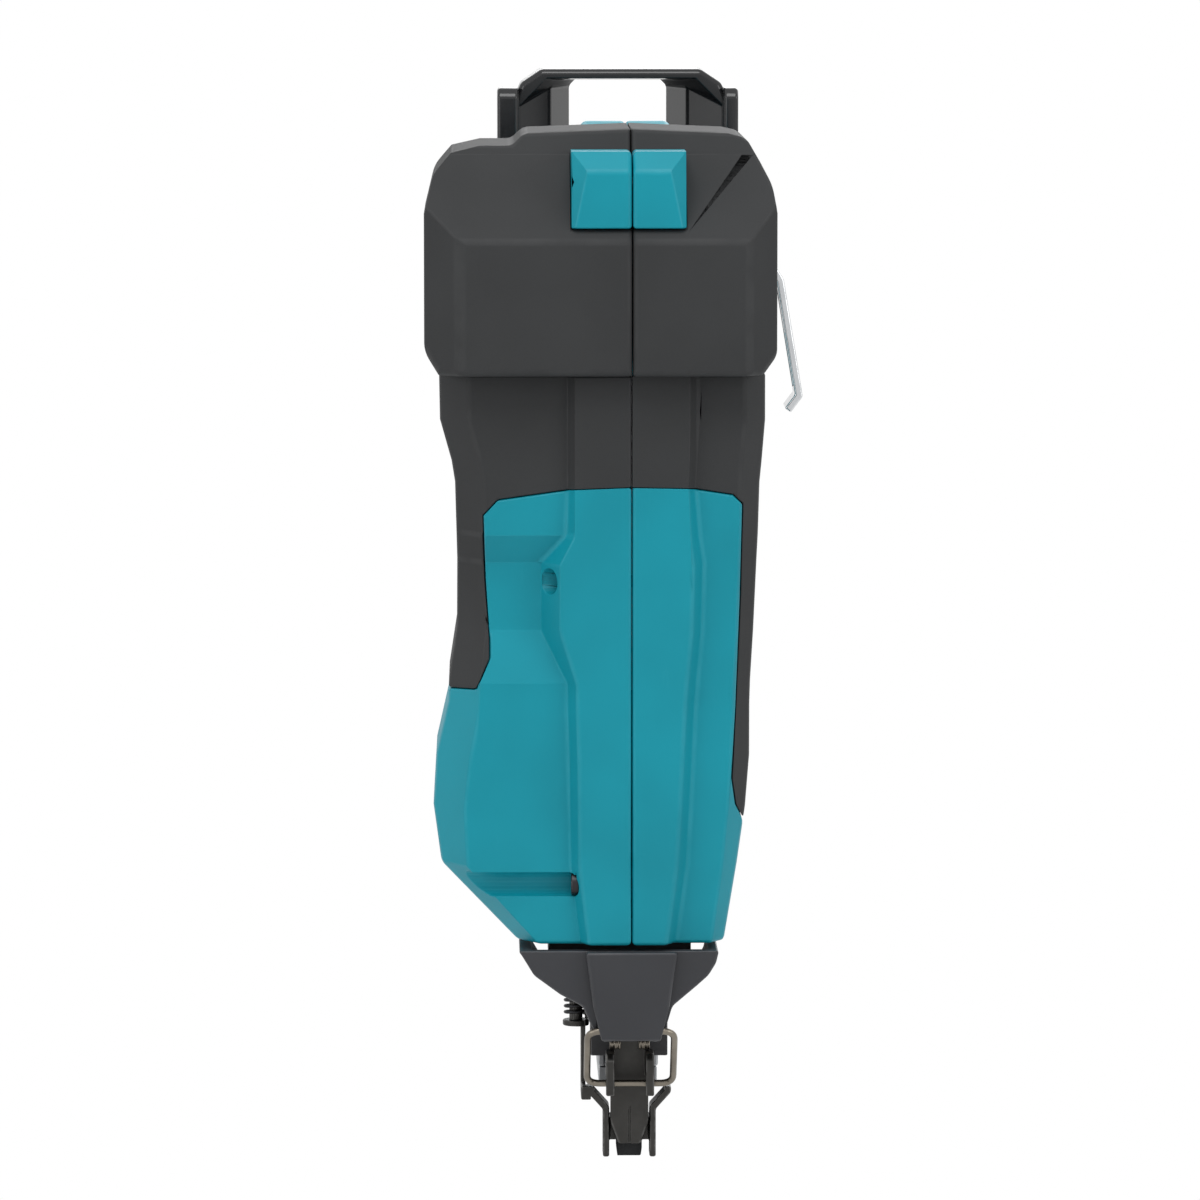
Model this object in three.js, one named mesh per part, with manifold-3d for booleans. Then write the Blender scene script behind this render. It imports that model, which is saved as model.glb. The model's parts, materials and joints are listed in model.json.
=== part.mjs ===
// Cordless brad nailer, standing nose down as it is held for use.
// The nose tip's contact face is at Z 0, the tool's front faces -Y, and the handle, magazine and
// battery reach back along +Y. The driver runs up the Z axis until the whole is set on its origin,
// at the end. Lengths are in millimetres.
import * as THREE from 'three';
import { mergeVertices } from 'three/addons/utils/BufferGeometryUtils.js';
import Module from 'manifold-3d';

const wasm = await Module();
wasm.setup();

// Fits shared by every piece
const fit = 0.3;
const overrun = 3;

// Driving dimensions of the body
const headTop = 304;
const bodyBottom = 68;
const coreTop = headTop - 10;
const bodyLeft = 58;
const bodyRight = 40;
const bodyFront = 38;
const bodyBack = 38;
const bandHalf = 16;
const wall = 2.6;
const skin = 2.4;

// Driving dimensions of the head bumper
const headLeft = 60;
const headRight = 42;
const headFront = 46;
const headBottom = headTop - 69;
const headCrease = headTop - 30;
const headShoulder = headTop - 3.5;
const headCrown = 1.2;
const headEdge = 10;

// Driving dimensions of the drive
const boreRadius = 17;
const sleeveRadius = 19.5;
const sleeveBottom = 141.3;
const sleeveTop = headTop - 52;
const stroke = 72;
const toothCount = 8;
const pitchRadius = 20;
const wheelX = -27.5;
const wheelZ = 116;
const motorRadius = 24.5;
const motorBack = 84;

// Driving dimensions of the handle, foot and battery
const gripHalf = 17;
const handleStart = 28;
const handleEnd = 190;
const footFront = 186;
const footNeck = footFront - 18;
const footBack = 209.7;
const footHalf = 36;
const footBottom = 182;
const footTop = 284;
const batteryHalf = 37.5;
const batteryBottom = 176;
const batteryTop = 291;
const batteryBack = 276;

// Driving dimensions of the nose and magazine
const noseFront = 2;
const noseBack = 14;
const noseHalf = 11.4;
const doorHalf = 5.6;
const tipHeight = 4.5;
const contactTravel = 6;
const magazineBack = 205;
const magazineBottom = 24;
const magazineTop = 78;
const magazineHalf = 9;

// Materials, with the photographed colours
function material(color, roughness, metalness = 0) {
  return new THREE.MeshStandardMaterial({ color, roughness, metalness });
}
const teal = material(0x128c9e, 0.55);
const elastomer = material(0x3a3c3e, 0.8);
const glossBlack = material(0x16181a, 0.2);
const satinBlack = material(0x26282b, 0.55);
const blackSteel = material(0x232426, 0.4, 0.8);
const wireSteel = material(0x8a8478, 0.3, 0.9);
const chrome = material(0xd5d8da, 0.12, 1);
const aluminium = material(0xb4b7ba, 0.4, 0.9);
const darkAluminium = material(0x3b3e42, 0.45, 0.7);
const hardSteel = material(0x9a9da0, 0.3, 0.95);
const copper = material(0xb06a3a, 0.4, 0.8);
const urethane = material(0x1f4f3a, 0.7);
const boardGreen = material(0x1d5a3a, 0.6);
const clearLens = material(0xe8ecee, 0.15);
const buttonGrey = material(0x4a4d50, 0.5);

// Shape tools
const weldDistance = 1e-4;
const straightSine = 1e-3;
const sharpestCosine = 0.5;
function solid(geometry) {
  const bare = geometry.index ? geometry.toNonIndexed() : geometry.clone();
  bare.deleteAttribute('normal');
  bare.deleteAttribute('uv');
  const merged = mergeVertices(bare, weldDistance);
  const triVerts = new Uint32Array(merged.index.array);
  const vertProperties = new Float32Array(merged.attributes.position.array);
  const made = new wasm.Manifold(new wasm.Mesh({ numProp: 3, vertProperties, triVerts }));
  if (made.volume() > 0) {
    return made;
  }
  for (let i = 0; i < triVerts.length; i += 3) {
    [triVerts[i + 1], triVerts[i + 2]] = [triVerts[i + 2], triVerts[i + 1]];
  }
  return new wasm.Manifold(new wasm.Mesh({ numProp: 3, vertProperties, triVerts }));
}

function place(axis, a, b, along) {
  if (axis === 'x') {
    return [along, a, b];
  }
  return axis === 'y' ? [a, along, b] : [a, b, along];
}

// A solid through rings of points, each ring flat across the axis
function loft(axis, rings) {
  const count = rings[0].points.length;
  const positions = rings.flatMap((ring) => ring.points.flatMap(([a, b]) => place(axis, a, b, ring.at)));
  const index = [];
  for (let r = 0; r + 1 < rings.length; r += 1) {
    for (let i = 0; i < count; i += 1) {
      const j = (i + 1) % count;
      const [low, high] = [r * count, (r + 1) * count];
      index.push(low + i, low + j, high + j, low + i, high + j, high + i);
    }
  }
  const cap = (ring) => {
    const contour = ring.points.map(([a, b]) => new THREE.Vector2(a, b));
    const turned = THREE.ShapeUtils.isClockWise(contour);
    const order = contour.map((_, i) => (turned ? count - 1 - i : i));
    const faces = THREE.ShapeUtils.triangulateShape(order.map((i) => contour[i]), []);
    return faces.map((face) => (turned ? face.map((i) => order[i]).reverse() : face.map((i) => order[i])));
  };
  const last = (rings.length - 1) * count;
  cap(rings[0]).forEach(([i, j, k]) => index.push(i, k, j));
  cap(rings.at(-1)).forEach(([i, j, k]) => index.push(last + i, last + j, last + k));
  const geometry = new THREE.BufferGeometry();
  geometry.setAttribute('position', new THREE.Float32BufferAttribute(positions, 3));
  geometry.setIndex(index);
  return solid(geometry);
}

function prism(axis, points, [low, high]) {
  return loft(axis, [{ at: low, points }, { at: high, points }]);
}

function block([x0, x1], [y0, y1], [z0, z1]) {
  const geometry = new THREE.BoxGeometry(x1 - x0, y1 - y0, z1 - z0);
  return solid(geometry.translate((x0 + x1) / 2, (y0 + y1) / 2, (z0 + z1) / 2));
}

// A round bar along an axis, centred on (a, b) across it
function rod(axis, radius, [low, high], [a, b], sides = 20) {
  const geometry = new THREE.CylinderGeometry(radius, radius, high - low, sides);
  if (axis === 'x') {
    geometry.rotateZ(Math.PI / 2);
  }
  if (axis === 'z') {
    geometry.rotateX(Math.PI / 2);
  }
  return solid(geometry.translate(...place(axis, a, b, (low + high) / 2)));
}

function ring(axis, outer, inner, [low, high], centre, sides = 20) {
  return rod(axis, outer, [low, high], centre, sides)
    .subtract(rod(axis, inner, [low - overrun, high + overrun], centre, sides));
}

// The outline moved inwards by a distance, or outwards where it is negative
function inset(points, by) {
  const count = points.length;
  const area = THREE.ShapeUtils.area(points.map(([a, b]) => new THREE.Vector2(a, b)));
  const sides = points.map(([a, b], i) => {
    const [c, d] = points[(i + 1) % count];
    const length = Math.hypot(c - a, d - b);
    const [u, v] = [(c - a) / length, (d - b) / length];
    const turn = Math.sign(area) * by;
    return { a: a - v * turn, b: b + u * turn, u, v };
  });
  return sides.map((side, i) => {
    const before = sides[(i + count - 1) % count];
    const cross = before.u * side.v - before.v * side.u;
    if (Math.abs(cross) < straightSine) {
      return [side.a, side.b];
    }
    const t = ((side.a - before.a) * side.v - (side.b - before.b) * side.u) / cross;
    return [before.a + before.u * t, before.b + before.v * t];
  });
}

// The outline of a strip of even thickness along a line of points
function ribbon(line, thickness) {
  const half = thickness / 2;
  const normals = line.map((point, i) => {
    const before = line[Math.max(i - 1, 0)];
    const after = line[Math.min(i + 1, line.length - 1)];
    const into = new THREE.Vector2(point[0] - before[0], point[1] - before[1]).normalize();
    const out = new THREE.Vector2(after[0] - point[0], after[1] - point[1]).normalize();
    const mean = into.clone().add(out).normalize();
    const spread = half / Math.max(mean.dot(i === 0 ? out : into), sharpestCosine);
    return [-mean.y * spread, mean.x * spread];
  });
  const side = (sign) => line.map(([a, b], i) => [a + sign * normals[i][0], b + sign * normals[i][1]]);
  return [...side(1), ...side(-1).reverse()];
}

function mirror(points) {
  return points.map(([a, b]) => [-a, b]);
}

// A closed outline from its right half, listed from bottom to top
function symmetric(half) {
  return [...half, ...mirror(half).reverse()];
}

function circle(radius, sides, [a, b] = [0, 0]) {
  return Array.from({ length: sides }, (_, i) => {
    const angle = (i / sides) * 2 * Math.PI;
    return [a + radius * Math.cos(angle), b + radius * Math.sin(angle)];
  });
}

// A round bar through a line of points
function sweep(points, radius, sides) {
  const tangents = points.map((point, i) => {
    const before = points[Math.max(i - 1, 0)];
    const after = points[Math.min(i + 1, points.length - 1)];
    return after.clone().sub(before).normalize();
  });
  let normal = new THREE.Vector3(-tangents[0].y, tangents[0].z, tangents[0].x).cross(tangents[0]).normalize();
  const positions = [];
  points.forEach((point, i) => {
    normal = normal.clone().addScaledVector(tangents[i], -normal.dot(tangents[i])).normalize();
    const binormal = new THREE.Vector3().crossVectors(tangents[i], normal);
    for (const [a, b] of circle(radius, sides)) {
      const spot = point.clone().addScaledVector(normal, a).addScaledVector(binormal, b);
      positions.push(spot.x, spot.y, spot.z);
    }
  });
  const index = [];
  for (let r = 0; r + 1 < points.length; r += 1) {
    for (let i = 0; i < sides; i += 1) {
      const j = (i + 1) % sides;
      const [low, high] = [r * sides, (r + 1) * sides];
      index.push(low + i, low + j, high + j, low + i, high + j, high + i);
    }
  }
  const last = (points.length - 1) * sides;
  for (let i = 1; i + 1 < sides; i += 1) {
    index.push(0, i + 1, i, last, last + i, last + i + 1);
  }
  const geometry = new THREE.BufferGeometry();
  geometry.setAttribute('position', new THREE.Float32BufferAttribute(positions, 3));
  geometry.setIndex(index);
  return solid(geometry);
}

function join(...solids) {
  return solids.reduce((sum, next) => sum.add(next));
}

const nailer = new THREE.Group();
function add(name, made, finish) {
  const { vertProperties, triVerts, numProp, numVert } = made.getMesh();
  const positions = new Float32Array(numVert * 3);
  for (let i = 0; i < numVert; i += 1) {
    positions.set(vertProperties.subarray(i * numProp, i * numProp + 3), i * 3);
  }
  const geometry = new THREE.BufferGeometry();
  geometry.setAttribute('position', new THREE.BufferAttribute(positions, 3));
  geometry.setIndex(new THREE.BufferAttribute(new Uint32Array(triVerts), 1));
  geometry.computeVertexNormals();
  const piece = new THREE.Mesh(geometry, finish);
  piece.name = name;
  nailer.add(piece);
}

// Outer shapes of the body, motor barrel, handle and foot
// Rows: height as a share of the core's top, left and right as shares of the body's sides, band left
// and right as shares of its half width, front as a share of the body's front, then the depths of the
// left and right panels beside the band and the widths of the corner chamfers, as shares of the front
const bodyLevelShares = [
  [0.231, 0.57, 0.68, 0.78, 0.64, 0.92, 0.1, 0.12, 0.16, 0.1],
  [0.31, 0.955, 0.775, 0.95, 0.82, 0.98, 0.11, 0.13, 0.2, 0.12],
  [0.367, 0.995, 0.835, 0.96, 0.88, 1, 0.12, 0.13, 0.24, 0.14],
  [0.418, 0.98, 0.865, 0.97, 0.93, 1, 0.12, 0.13, 0.26, 0.15],
  [0.47, 0.92, 0.865, 1, 0.97, 1, 0.12, 0.13, 0.24, 0.14],
  [0.493, 0.915, 0.87, 1, 1, 1, 0.12, 0.13, 0.24, 0.14],
  [0.544, 0.875, 0.892, 1.3, 1.09, 1, 0.24, 0.13, 0.22, 0.14],
  [0.612, 0.873, 0.915, 1.3, 1.12, 1, 0.24, 0.13, 0.22, 0.15],
  [0.64, 0.876, 0.925, 1.03, 1.06, 1, 0.11, 0.12, 0.22, 0.15],
  [0.69, 0.883, 0.935, 1.03, 1.02, 1, 0.09, 0.09, 0.22, 0.16],
  [0.711, 0.9, 0.95, 1.03, 1.04, 1, 0.09, 0.09, 0.22, 0.16],
  [0.752, 0.958, 0.975, 1.03, 1.05, 1, 0.09, 0.09, 0.22, 0.16],
  [0.809, 0.963, 0.975, 1.03, 1.05, 1, 0.09, 0.09, 0.22, 0.16],
  [0.818, 0.88, 0.87, 1.03, 1.05, 0.97, 0.05, 0.05, 0.2, 0.14],
  [0.932, 0.88, 0.87, 1.03, 1.05, 0.97, 0.05, 0.05, 0.2, 0.14],
  [0.965, 0.87, 0.83, 1.03, 1.05, 0.72, 0.05, 0.05, 0.2, 0.14],
  [1, 0.76, 0.68, 1.03, 1.05, 0.45, 0.05, 0.05, 0.15, 0.12],
];
const flankSlopeShare = 0.6;
const chamferDepthShare = 1.5;
function bodyPoints([, left, right, bandLeft, bandRight, front, stepLeft, stepRight, edgeLeft, edgeRight]) {
  const [x0, x1] = [-bodyLeft * left, bodyRight * right];
  const [b0, b1] = [-bandHalf * bandLeft, bandHalf * bandRight];
  const y0 = -bodyFront * front;
  const y1 = bodyBack * front;
  const [s0, s1] = [bodyFront * stepLeft, bodyFront * stepRight];
  const [c0, c1] = [bodyFront * edgeLeft, bodyFront * edgeRight];
  return [
    [b0, y0],
    [b1, y0],
    [b1 + s1 * flankSlopeShare, y0 + s1],
    [x1 - c1, y0 + s1],
    [x1, y0 + s1 + c1 * chamferDepthShare],
    [x1, y1 - c1 * chamferDepthShare],
    [x1 - c1, y1],
    [x0 + c0, y1],
    [x0, y1 - c0 * chamferDepthShare],
    [x0, y0 + s0 + c0 * chamferDepthShare],
    [x0 + c0, y0 + s0],
    [b0 - s0 * flankSlopeShare, y0 + s0],
  ];
}
function bodyShape(by) {
  const last = bodyLevelShares.length - 1;
  return loft('z', bodyLevelShares.map((row, i) => ({
    at: (i === 0 ? bodyBottom + by : coreTop * row[0]) - (i === last ? by : 0),
    points: inset(bodyPoints(row), by),
  })));
}

const barrelSides = 20;
const barrelWall = 3;
const barrelStart = 8;
const barrelBack = 108;
const barrelTaper = 4;
function barrelShape(by) {
  const radius = (motorRadius + fit + barrelWall - by) / Math.cos(Math.PI / barrelSides);
  return loft('y', [
    { at: barrelStart, points: circle(radius, barrelSides, [wheelX, wheelZ]) },
    { at: barrelBack - barrelTaper - by, points: circle(radius, barrelSides, [wheelX, wheelZ]) },
    { at: barrelBack - by, points: circle(radius - barrelTaper, barrelSides, [wheelX, wheelZ]) },
  ]);
}

// Rows: distance along the handle, half width as a share of the grip's, bottom and top as shares of
// the head's top
const handleLevelShares = [
  [0, 1.12, 0.842, 0.967],
  [0.12, 1.08, 0.85, 0.993],
  [0.2, 1, 0.855, 1.003],
  [0.42, 0.94, 0.868, 0.988],
  [0.7, 0.94, 0.862, 0.974],
  [0.92, 1, 0.85, 0.962],
  [1, 1.1, 0.84, 0.954],
];
const handleCornerShare = 0.26;
const handleFlareShare = 0.4;
function handleShape(by) {
  return loft('y', handleLevelShares.map(([along, half, low, high]) => {
    const [w, z0, z1] = [gripHalf * half, headTop * low, headTop * high];
    const c = w * handleCornerShare;
    const d = w * handleFlareShare;
    const right = [[w - d, z0], [w, z0 + d], [w, z1 - d], [w - c, z1]];
    return { at: handleStart + (handleEnd - handleStart) * along, points: inset(symmetric(right), by) };
  }));
}

const footEdge = 7;
const neckShares = [0.55, 0.62, 0.974];
function footShape(by) {
  const outline = (half, low, high) => {
    const e = Math.min(footEdge, half / 2);
    return inset(symmetric([[half - e, low], [half, low + e], [half, high - e], [half - e, high]]), by);
  };
  const [width, low, high] = neckShares;
  const middle = (footBottom + footTop) / 2;
  return loft('y', [
    { at: footNeck + by, points: outline(footHalf * width, middle + footHalf * low, footTop * high) },
    { at: footFront, points: outline(footHalf - footEdge / 2, footBottom + footEdge / 2, footTop) },
    { at: footFront + footEdge, points: outline(footHalf, footBottom, footTop) },
    { at: footBack - by, points: outline(footHalf, footBottom, footTop) },
  ]);
}

const legHalf = 10;
const legFront = 193;
const legBack = 207;
const legWall = 3;
const leg = block([-legHalf, legHalf], [legFront, legBack], [magazineTop + fit, footBottom + footEdge]);
const legHollow = block(
  [legWall - legHalf, legHalf - legWall],
  [legFront + legWall, legBack - legWall],
  [magazineTop + fit + legWall, footBottom + footEdge + overrun],
);

// Front block of the housing that shows through the head bumper, with slanted sides and top
const frontBlock = {
  left: 17.5, right: 15.5, slant: 6.2, heel: 0.5, front: 44.5, back: 22, top: 5.5,
  low: headTop - 26.4, high: headTop - 4.5,
};
function frontBlockShape(by) {
  const { left, right, slant, heel, front, back, low, high, top } = frontBlock;
  const plan = (corner) => inset([
    [-left, corner - front],
    [corner - left, -front],
    [right - corner, -front],
    [right, corner - front],
    [right, -back],
    [-left, -back],
  ], by);
  const side = [[-front, low], [-front, high - top], [top - front, high], [-back, high], [-back, low]];
  return loft('z', [{ at: low - overrun, points: plan(heel) }, { at: high + overrun, points: plan(slant) }])
    .intersect(prism('x', inset(side, by), [-left - overrun, right + overrun]));
}

// Housing screws, lying across the seam: each has a head on the right of the tool
const screw = { head: 3.4, shank: 1.8, headLength: 2.6, length: 22, bore: 3.8, boss: 5.4 };
const screwPlaces = [
  { name: 'housing_screw_top', x: -13.5, y: -37.5, z: headTop - 14 },
  { name: 'housing_screw_middle', x: -17, y: -32.8, z: 174.7 },
  { name: 'housing_screw_bottom', x: -15, y: -31.5, z: 86 },
  { name: 'housing_screw_foot', x: -14, y: 178.5, z: 238 },
];
const screwChannel = { left: 37, low: 79.8, high: 90.6 };

const bodyOuter = bodyShape(0);
const outer = join(bodyOuter, barrelShape(0), handleShape(0), footShape(0), leg);
const cavity = join(
  bodyShape(wall + skin + fit),
  barrelShape(barrelWall),
  handleShape(wall + skin + fit),
  footShape(wall + fit),
  legHollow,
);

// Elastomer zones, seen from the front, as shares of the body's sides and the core's top
const rightZoneShares = [
  [0, 0.689],
  [-0.28, 0.687],
  [-0.67, 0.676],
  [-0.745, 0.66],
  [-0.735, 0.598],
  [-0.714, 0.534],
  [-0.714, 0.516],
  [-0.78, 0.487],
  [-1.1, 0.48],
  [-1.1, 0.83],
  [0, 0.83],
];
const leftZoneShares = [
  [0, 0.689],
  [0.4, 0.688],
  [0.733, 0.681],
  [0.808, 0.671],
  [0.793, 0.578],
  [0.763, 0.468],
  [0.733, 0.398],
  [0.763, 0.371],
  [0.83, 0.352],
  [1.15, 0.349],
  [1.15, 0.83],
  [0, 0.83],
];
const deep = 200;
function zoneShape(shares, side, by) {
  const points = shares.map(([x, z]) => [x * side, coreTop * z]);
  return prism('y', inset(points, by), [-deep, deep]);
}
const belowHead = block([-deep, deep], [-deep, deep], [0, headBottom - fit]);
const bodySkin = bodyOuter.subtract(bodyShape(skin));
const bodySkinSeat = bodyShape(-fit).subtract(bodyShape(skin + fit));
const zones = [
  { name: 'overmould_right', shares: rightZoneShares, side: bodyLeft },
  { name: 'overmould_left', shares: leftZoneShares, side: bodyRight },
];
const barrelClearance = barrelShape(-fit);
const handleClearance = handleShape(-fit);

// Grip zones of the handle, from behind the trigger to the foot
const gripStart = 80;
const gripEnd = 170;
const gripTop = headTop - 17;
const gripZone = block([-deep, deep], [gripStart, gripEnd], [0, gripTop]);
const gripSeatZone = block([-deep, deep], [gripStart - fit, gripEnd + fit], [0, gripTop + fit]);
const handleSkin = handleShape(0).subtract(handleShape(skin)).intersect(gripZone);
const handleSkinSeat = handleClearance.subtract(handleShape(skin + fit)).intersect(gripSeatZone);

// Halves split at the seam, with a gap of one fit between them
function half(made, side) {
  const [low, high] = side < 0 ? [-deep, -fit / 2] : [fit / 2, deep];
  return made.intersect(block([low, high], [-deep, 2 * deep], [-deep, 2 * deep]));
}

// Vents in the side of the motor barrel's end
const vent = { count: 5, width: 2.4, pitch: 6.4, front: 90, back: 101 };
const bearing = { radius: 8, bore: 3.2, length: 5, front: -13, rear: 96.5 };

const triggerWell = { half: 7.5, front: 57, back: 78.5, low: headTop - 64, high: headTop - 32 };
const triggerPin = { radius: 1.5, half: 12, y: 62, z: headTop - 39 };
const powerButton = { radius: 4.2, front: 180, back: 188, place: [16, 204] };
const workLamp = { radius: 6, front: 180.6, back: 187, place: [-15, 204] };
const hookScrew = { radius: 2, head: 4.2, height: 2.2, place: [199, footTop - 44], depth: 6 };
const terminalWindow = { half: 13.5, low: 216, high: 248 };
const noseHatch = { left: 16, right: 14, front: 11, back: 13.5 };

function housingShell() {
  let shell = outer.subtract(cavity);
  for (const { x, y, z } of screwPlaces) {
    const reach = [x - screw.headLength, x + screw.length + screw.headLength];
    shell = shell.add(rod('x', screw.boss, reach, [y, z], 12).intersect(outer));
  }
  const bearingSeat = ring('y', bearing.radius + fit + wall, bearing.radius + fit, [
    bearing.rear - fit,
    barrelBack - barrelWall / 2,
  ], [wheelX, wheelZ]);
  shell = join(shell, bearingSeat, frontBlockShape(0).subtract(bodyShape(wall + skin + fit)));
  for (const { x, y, z } of screwPlaces) {
    const bore = rod('x', screw.bore, [x - footHalf, x], [y, z]);
    const shank = rod('x', screw.shank + fit, [x - overrun, x + screw.length], [y, z], 12);
    shell = shell.subtract(bore).subtract(shank);
  }
  const channelRadius = (screwChannel.high - screwChannel.low) / 2;
  const channelPlace = [-bodyFront, (screwChannel.high + screwChannel.low) / 2];
  shell = shell.subtract(rod('x', channelRadius, [-screwChannel.left, -bandHalf], channelPlace));
  for (let i = 0; i < vent.count; i += 1) {
    const z = wheelZ + (i - (vent.count - 1) / 2) * vent.pitch;
    const slot = [z - vent.width / 2, z + vent.width / 2];
    shell = shell.subtract(block([wheelX - deep, wheelX - motorRadius / 2], [vent.front, vent.back], slot));
  }
  const { left, right, front, back } = noseHatch;
  const hatchHeight = [bodyBottom - overrun, bodyBottom + footEdge * 2];
  shell = shell.subtract(block([-left, right], [-front, back], hatchHeight));
  const nest = magazineHalf + fit;
  const nestHeight = [bodyBottom - overrun, magazineTop + fit];
  shell = shell.subtract(block([-nest, nest], [noseBack - overrun, bodyBack + overrun], nestHeight));
  const well = triggerWell;
  shell = shell.subtract(block([-well.half, well.half], [well.front, well.back], [well.low, well.high]));
  shell = shell.subtract(rod('x', triggerPin.radius + fit, [
    -triggerPin.half - fit,
    triggerPin.half + fit,
  ], [triggerPin.y, triggerPin.z], 12));
  for (const { radius, place } of [powerButton, workLamp]) {
    shell = shell.subtract(rod('y', radius + fit, [footNeck, footFront + 2 * footEdge], place, 20));
  }
  const { place, radius: screwRadius, depth } = hookScrew;
  const hookBore = [footHalf - depth - fit, footHalf + overrun];
  shell = shell.subtract(rod('x', screwRadius + fit, hookBore, place, 12));
  const window = terminalWindow;
  return shell.subtract(block([-window.half, window.half], [footBack - footEdge, footBack + overrun], [
    window.low,
    window.high,
  ]));
}

// Head bumper: a plan, a front view and a side view cut to one body
const head = { bevel: 4, roofStep: 3.5, roofLeft: 34.6, roofRight: 31.5, frontSlope: 24, backSlope: 12 };
const roofSlot = { half: 25, y: -13, width: 0.9, depth: 1.6 };
const headSideLeftShares = [[0.93, 0], [1, 0.1], [1, 0.71], [0.955, 0.88], [0.87, 0.97], [0.73, 1]];
const headSideRightShares = [
  [0.76, 1.04], [0.81, 1.02], [0.89, 0.93], [0.97, 0.83], [1, 0.71], [1, 0.08], [0.9, 0],
];
const headPlan = [
  [headEdge - headLeft, -headFront],
  [headRight - headEdge + head.bevel / 2, -headFront],
  [headRight, headEdge - headFront],
  [headRight, headFront - headEdge],
  [headRight - headEdge, headFront],
  [headEdge - headLeft, headFront],
  [-headLeft, headFront - headEdge],
  [-headLeft, headEdge - headFront],
];
const headHeight = headShoulder - headBottom;
const headView = [
  ...headSideLeftShares.map(([x, z]) => [-headLeft * x, headBottom + headHeight * z]),
  [-head.roofLeft, headShoulder],
  [head.roofStep - head.roofLeft, headTop],
  [0, headTop + headCrown],
  [head.roofRight - head.roofStep, headTop],
  ...headSideRightShares.map(([x, z]) => [headRight * x, headBottom + headHeight * z]),
];
const headSide = [
  [-headFront, headBottom],
  [-headFront, headCrease],
  [head.frontSlope - headFront, headCrease + head.frontSlope],
  [head.frontSlope + head.bevel - headFront, headTop + headCrown],
  [headFront - head.backSlope, headTop + headCrown],
  [headFront, headTop - head.backSlope],
  [headFront, headBottom],
];
const headBumper = prism('z', headPlan, [headBottom, headTop + headCrown])
  .intersect(prism('y', headView, [-headFront, headFront]))
  .intersect(prism('x', headSide, [-headLeft, headRight]))
  .subtract(bodyShape(-fit))
  .subtract(frontBlockShape(-fit))
  .subtract(handleClearance)
  .subtract(block(
    [-roofSlot.half, roofSlot.half],
    [roofSlot.y - roofSlot.width, roofSlot.y],
    [headTop - roofSlot.depth, headTop + overrun],
  ));

const shell = housingShell();
for (const [label, side] of [['right', -1], ['left', 1]]) {
  const { shares, side: reach } = zones.find(({ name }) => name === `overmould_${label}`);
  const seatZone = zoneShape(shares, reach, -fit);
  const cover = bodySkin
    .intersect(zoneShape(shares, reach, 0))
    .intersect(belowHead)
    .subtract(barrelClearance)
    .subtract(handleClearance);
  const seat = bodySkinSeat.intersect(half(seatZone, side));
  add(`housing_${label}`, half(shell, side).subtract(seat).subtract(handleSkinSeat), teal);
  add(`head_bumper_${label}`, half(headBumper, side), elastomer);
  add(`overmould_${label}`, half(cover, side), elastomer);
  const trigger = triggerWell;
  const grip = handleSkin.subtract(block([-deep, deep], [0, trigger.back + fit], [0, footTop]));
  add(`handle_grip_${label}`, half(grip, side), elastomer);
}
for (const { name, x, y, z } of screwPlaces) {
  const headPart = rod('x', screw.head, [x - screw.headLength, x - fit], [y, z], 16);
  const shank = rod('x', screw.shank, [x - 2 * fit, x + screw.length - fit], [y, z], 10);
  const socketReach = [x - screw.headLength - overrun, x - screw.headLength / 2];
  const socket = rod('x', screw.head / 2, socketReach, [y, z], 6);
  add(name, headPart.add(shank).subtract(socket), blackSteel);
}

// Nose cover, with the latch lever lying on its front
const cover = { top: 66.3, bottom: 39.1, topFront: 33.5, bottomFront: 27.5, back: 4, wall: 2.8 };
const coverHeight = cover.top - cover.bottom;
const coverLeftShares = [
  [-0.56, 0], [-0.75, 0.18], [-0.88, 0.37], [-1.3, 0.51], [-1.77, 0.72], [-1.99, 0.94], [-2.06, 1],
];
const coverRightShares = [
  [1.6, 1], [1.55, 0.86], [1.41, 0.72], [1.21, 0.61], [0.75, 0.37], [0.66, 0.18], [0.56, 0],
];
const coverView = [...coverLeftShares, ...coverRightShares].map(([x, z]) => [
  bandHalf * x,
  cover.bottom + coverHeight * z,
]);
const lever = {
  thickness: 3.2, halfTop: 13.4, halfMiddle: 11.2, half: 8.6, middle: 50, radius: 4, earIn: 5.4, earOut: 8,
};
const hinge = { y: -24.6, z: 42, pin: 1.1 };
function coverSlab(front, back) {
  return [
    [-cover.topFront - front, cover.top],
    [-cover.bottomFront - front, cover.bottom],
    [-cover.bottomFront - back, cover.bottom],
    [-cover.topFront - back, cover.top],
  ];
}
function makeNoseCover() {
  const side = [
    [-cover.topFront, cover.top],
    [-cover.bottomFront, cover.bottom],
    [-cover.back, cover.bottom],
    [-cover.back, cover.top],
  ];
  const inner = [
    [cover.wall - cover.topFront, cover.top + overrun],
    [cover.wall - cover.bottomFront, cover.bottom + cover.wall],
    [overrun - cover.back, cover.bottom + cover.wall],
    [overrun - cover.back, cover.top + overrun],
  ];
  const mouthTop = coverView.map(([x, z]) => [x, z > cover.top - overrun / 2 ? z + 2 * overrun : z]);
  const outside = prism('y', coverView, [-cover.topFront, -cover.back]).intersect(
    prism('x', side, [-headLeft, headRight]),
  );
  const inside = prism('y', inset(mouthTop, cover.wall), [-cover.topFront, overrun]).intersect(
    prism('x', inner, [-headLeft, headRight]),
  );
  const notch = block(
    [-lever.half - 4 * fit, lever.half + 4 * fit],
    [-cover.topFront - overrun, overrun - cover.back],
    [cover.bottom - overrun, lever.middle - overrun],
  );
  return outside.subtract(inside).subtract(notch);
}
add('nose_cover', makeNoseCover(), satinBlack);

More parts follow.
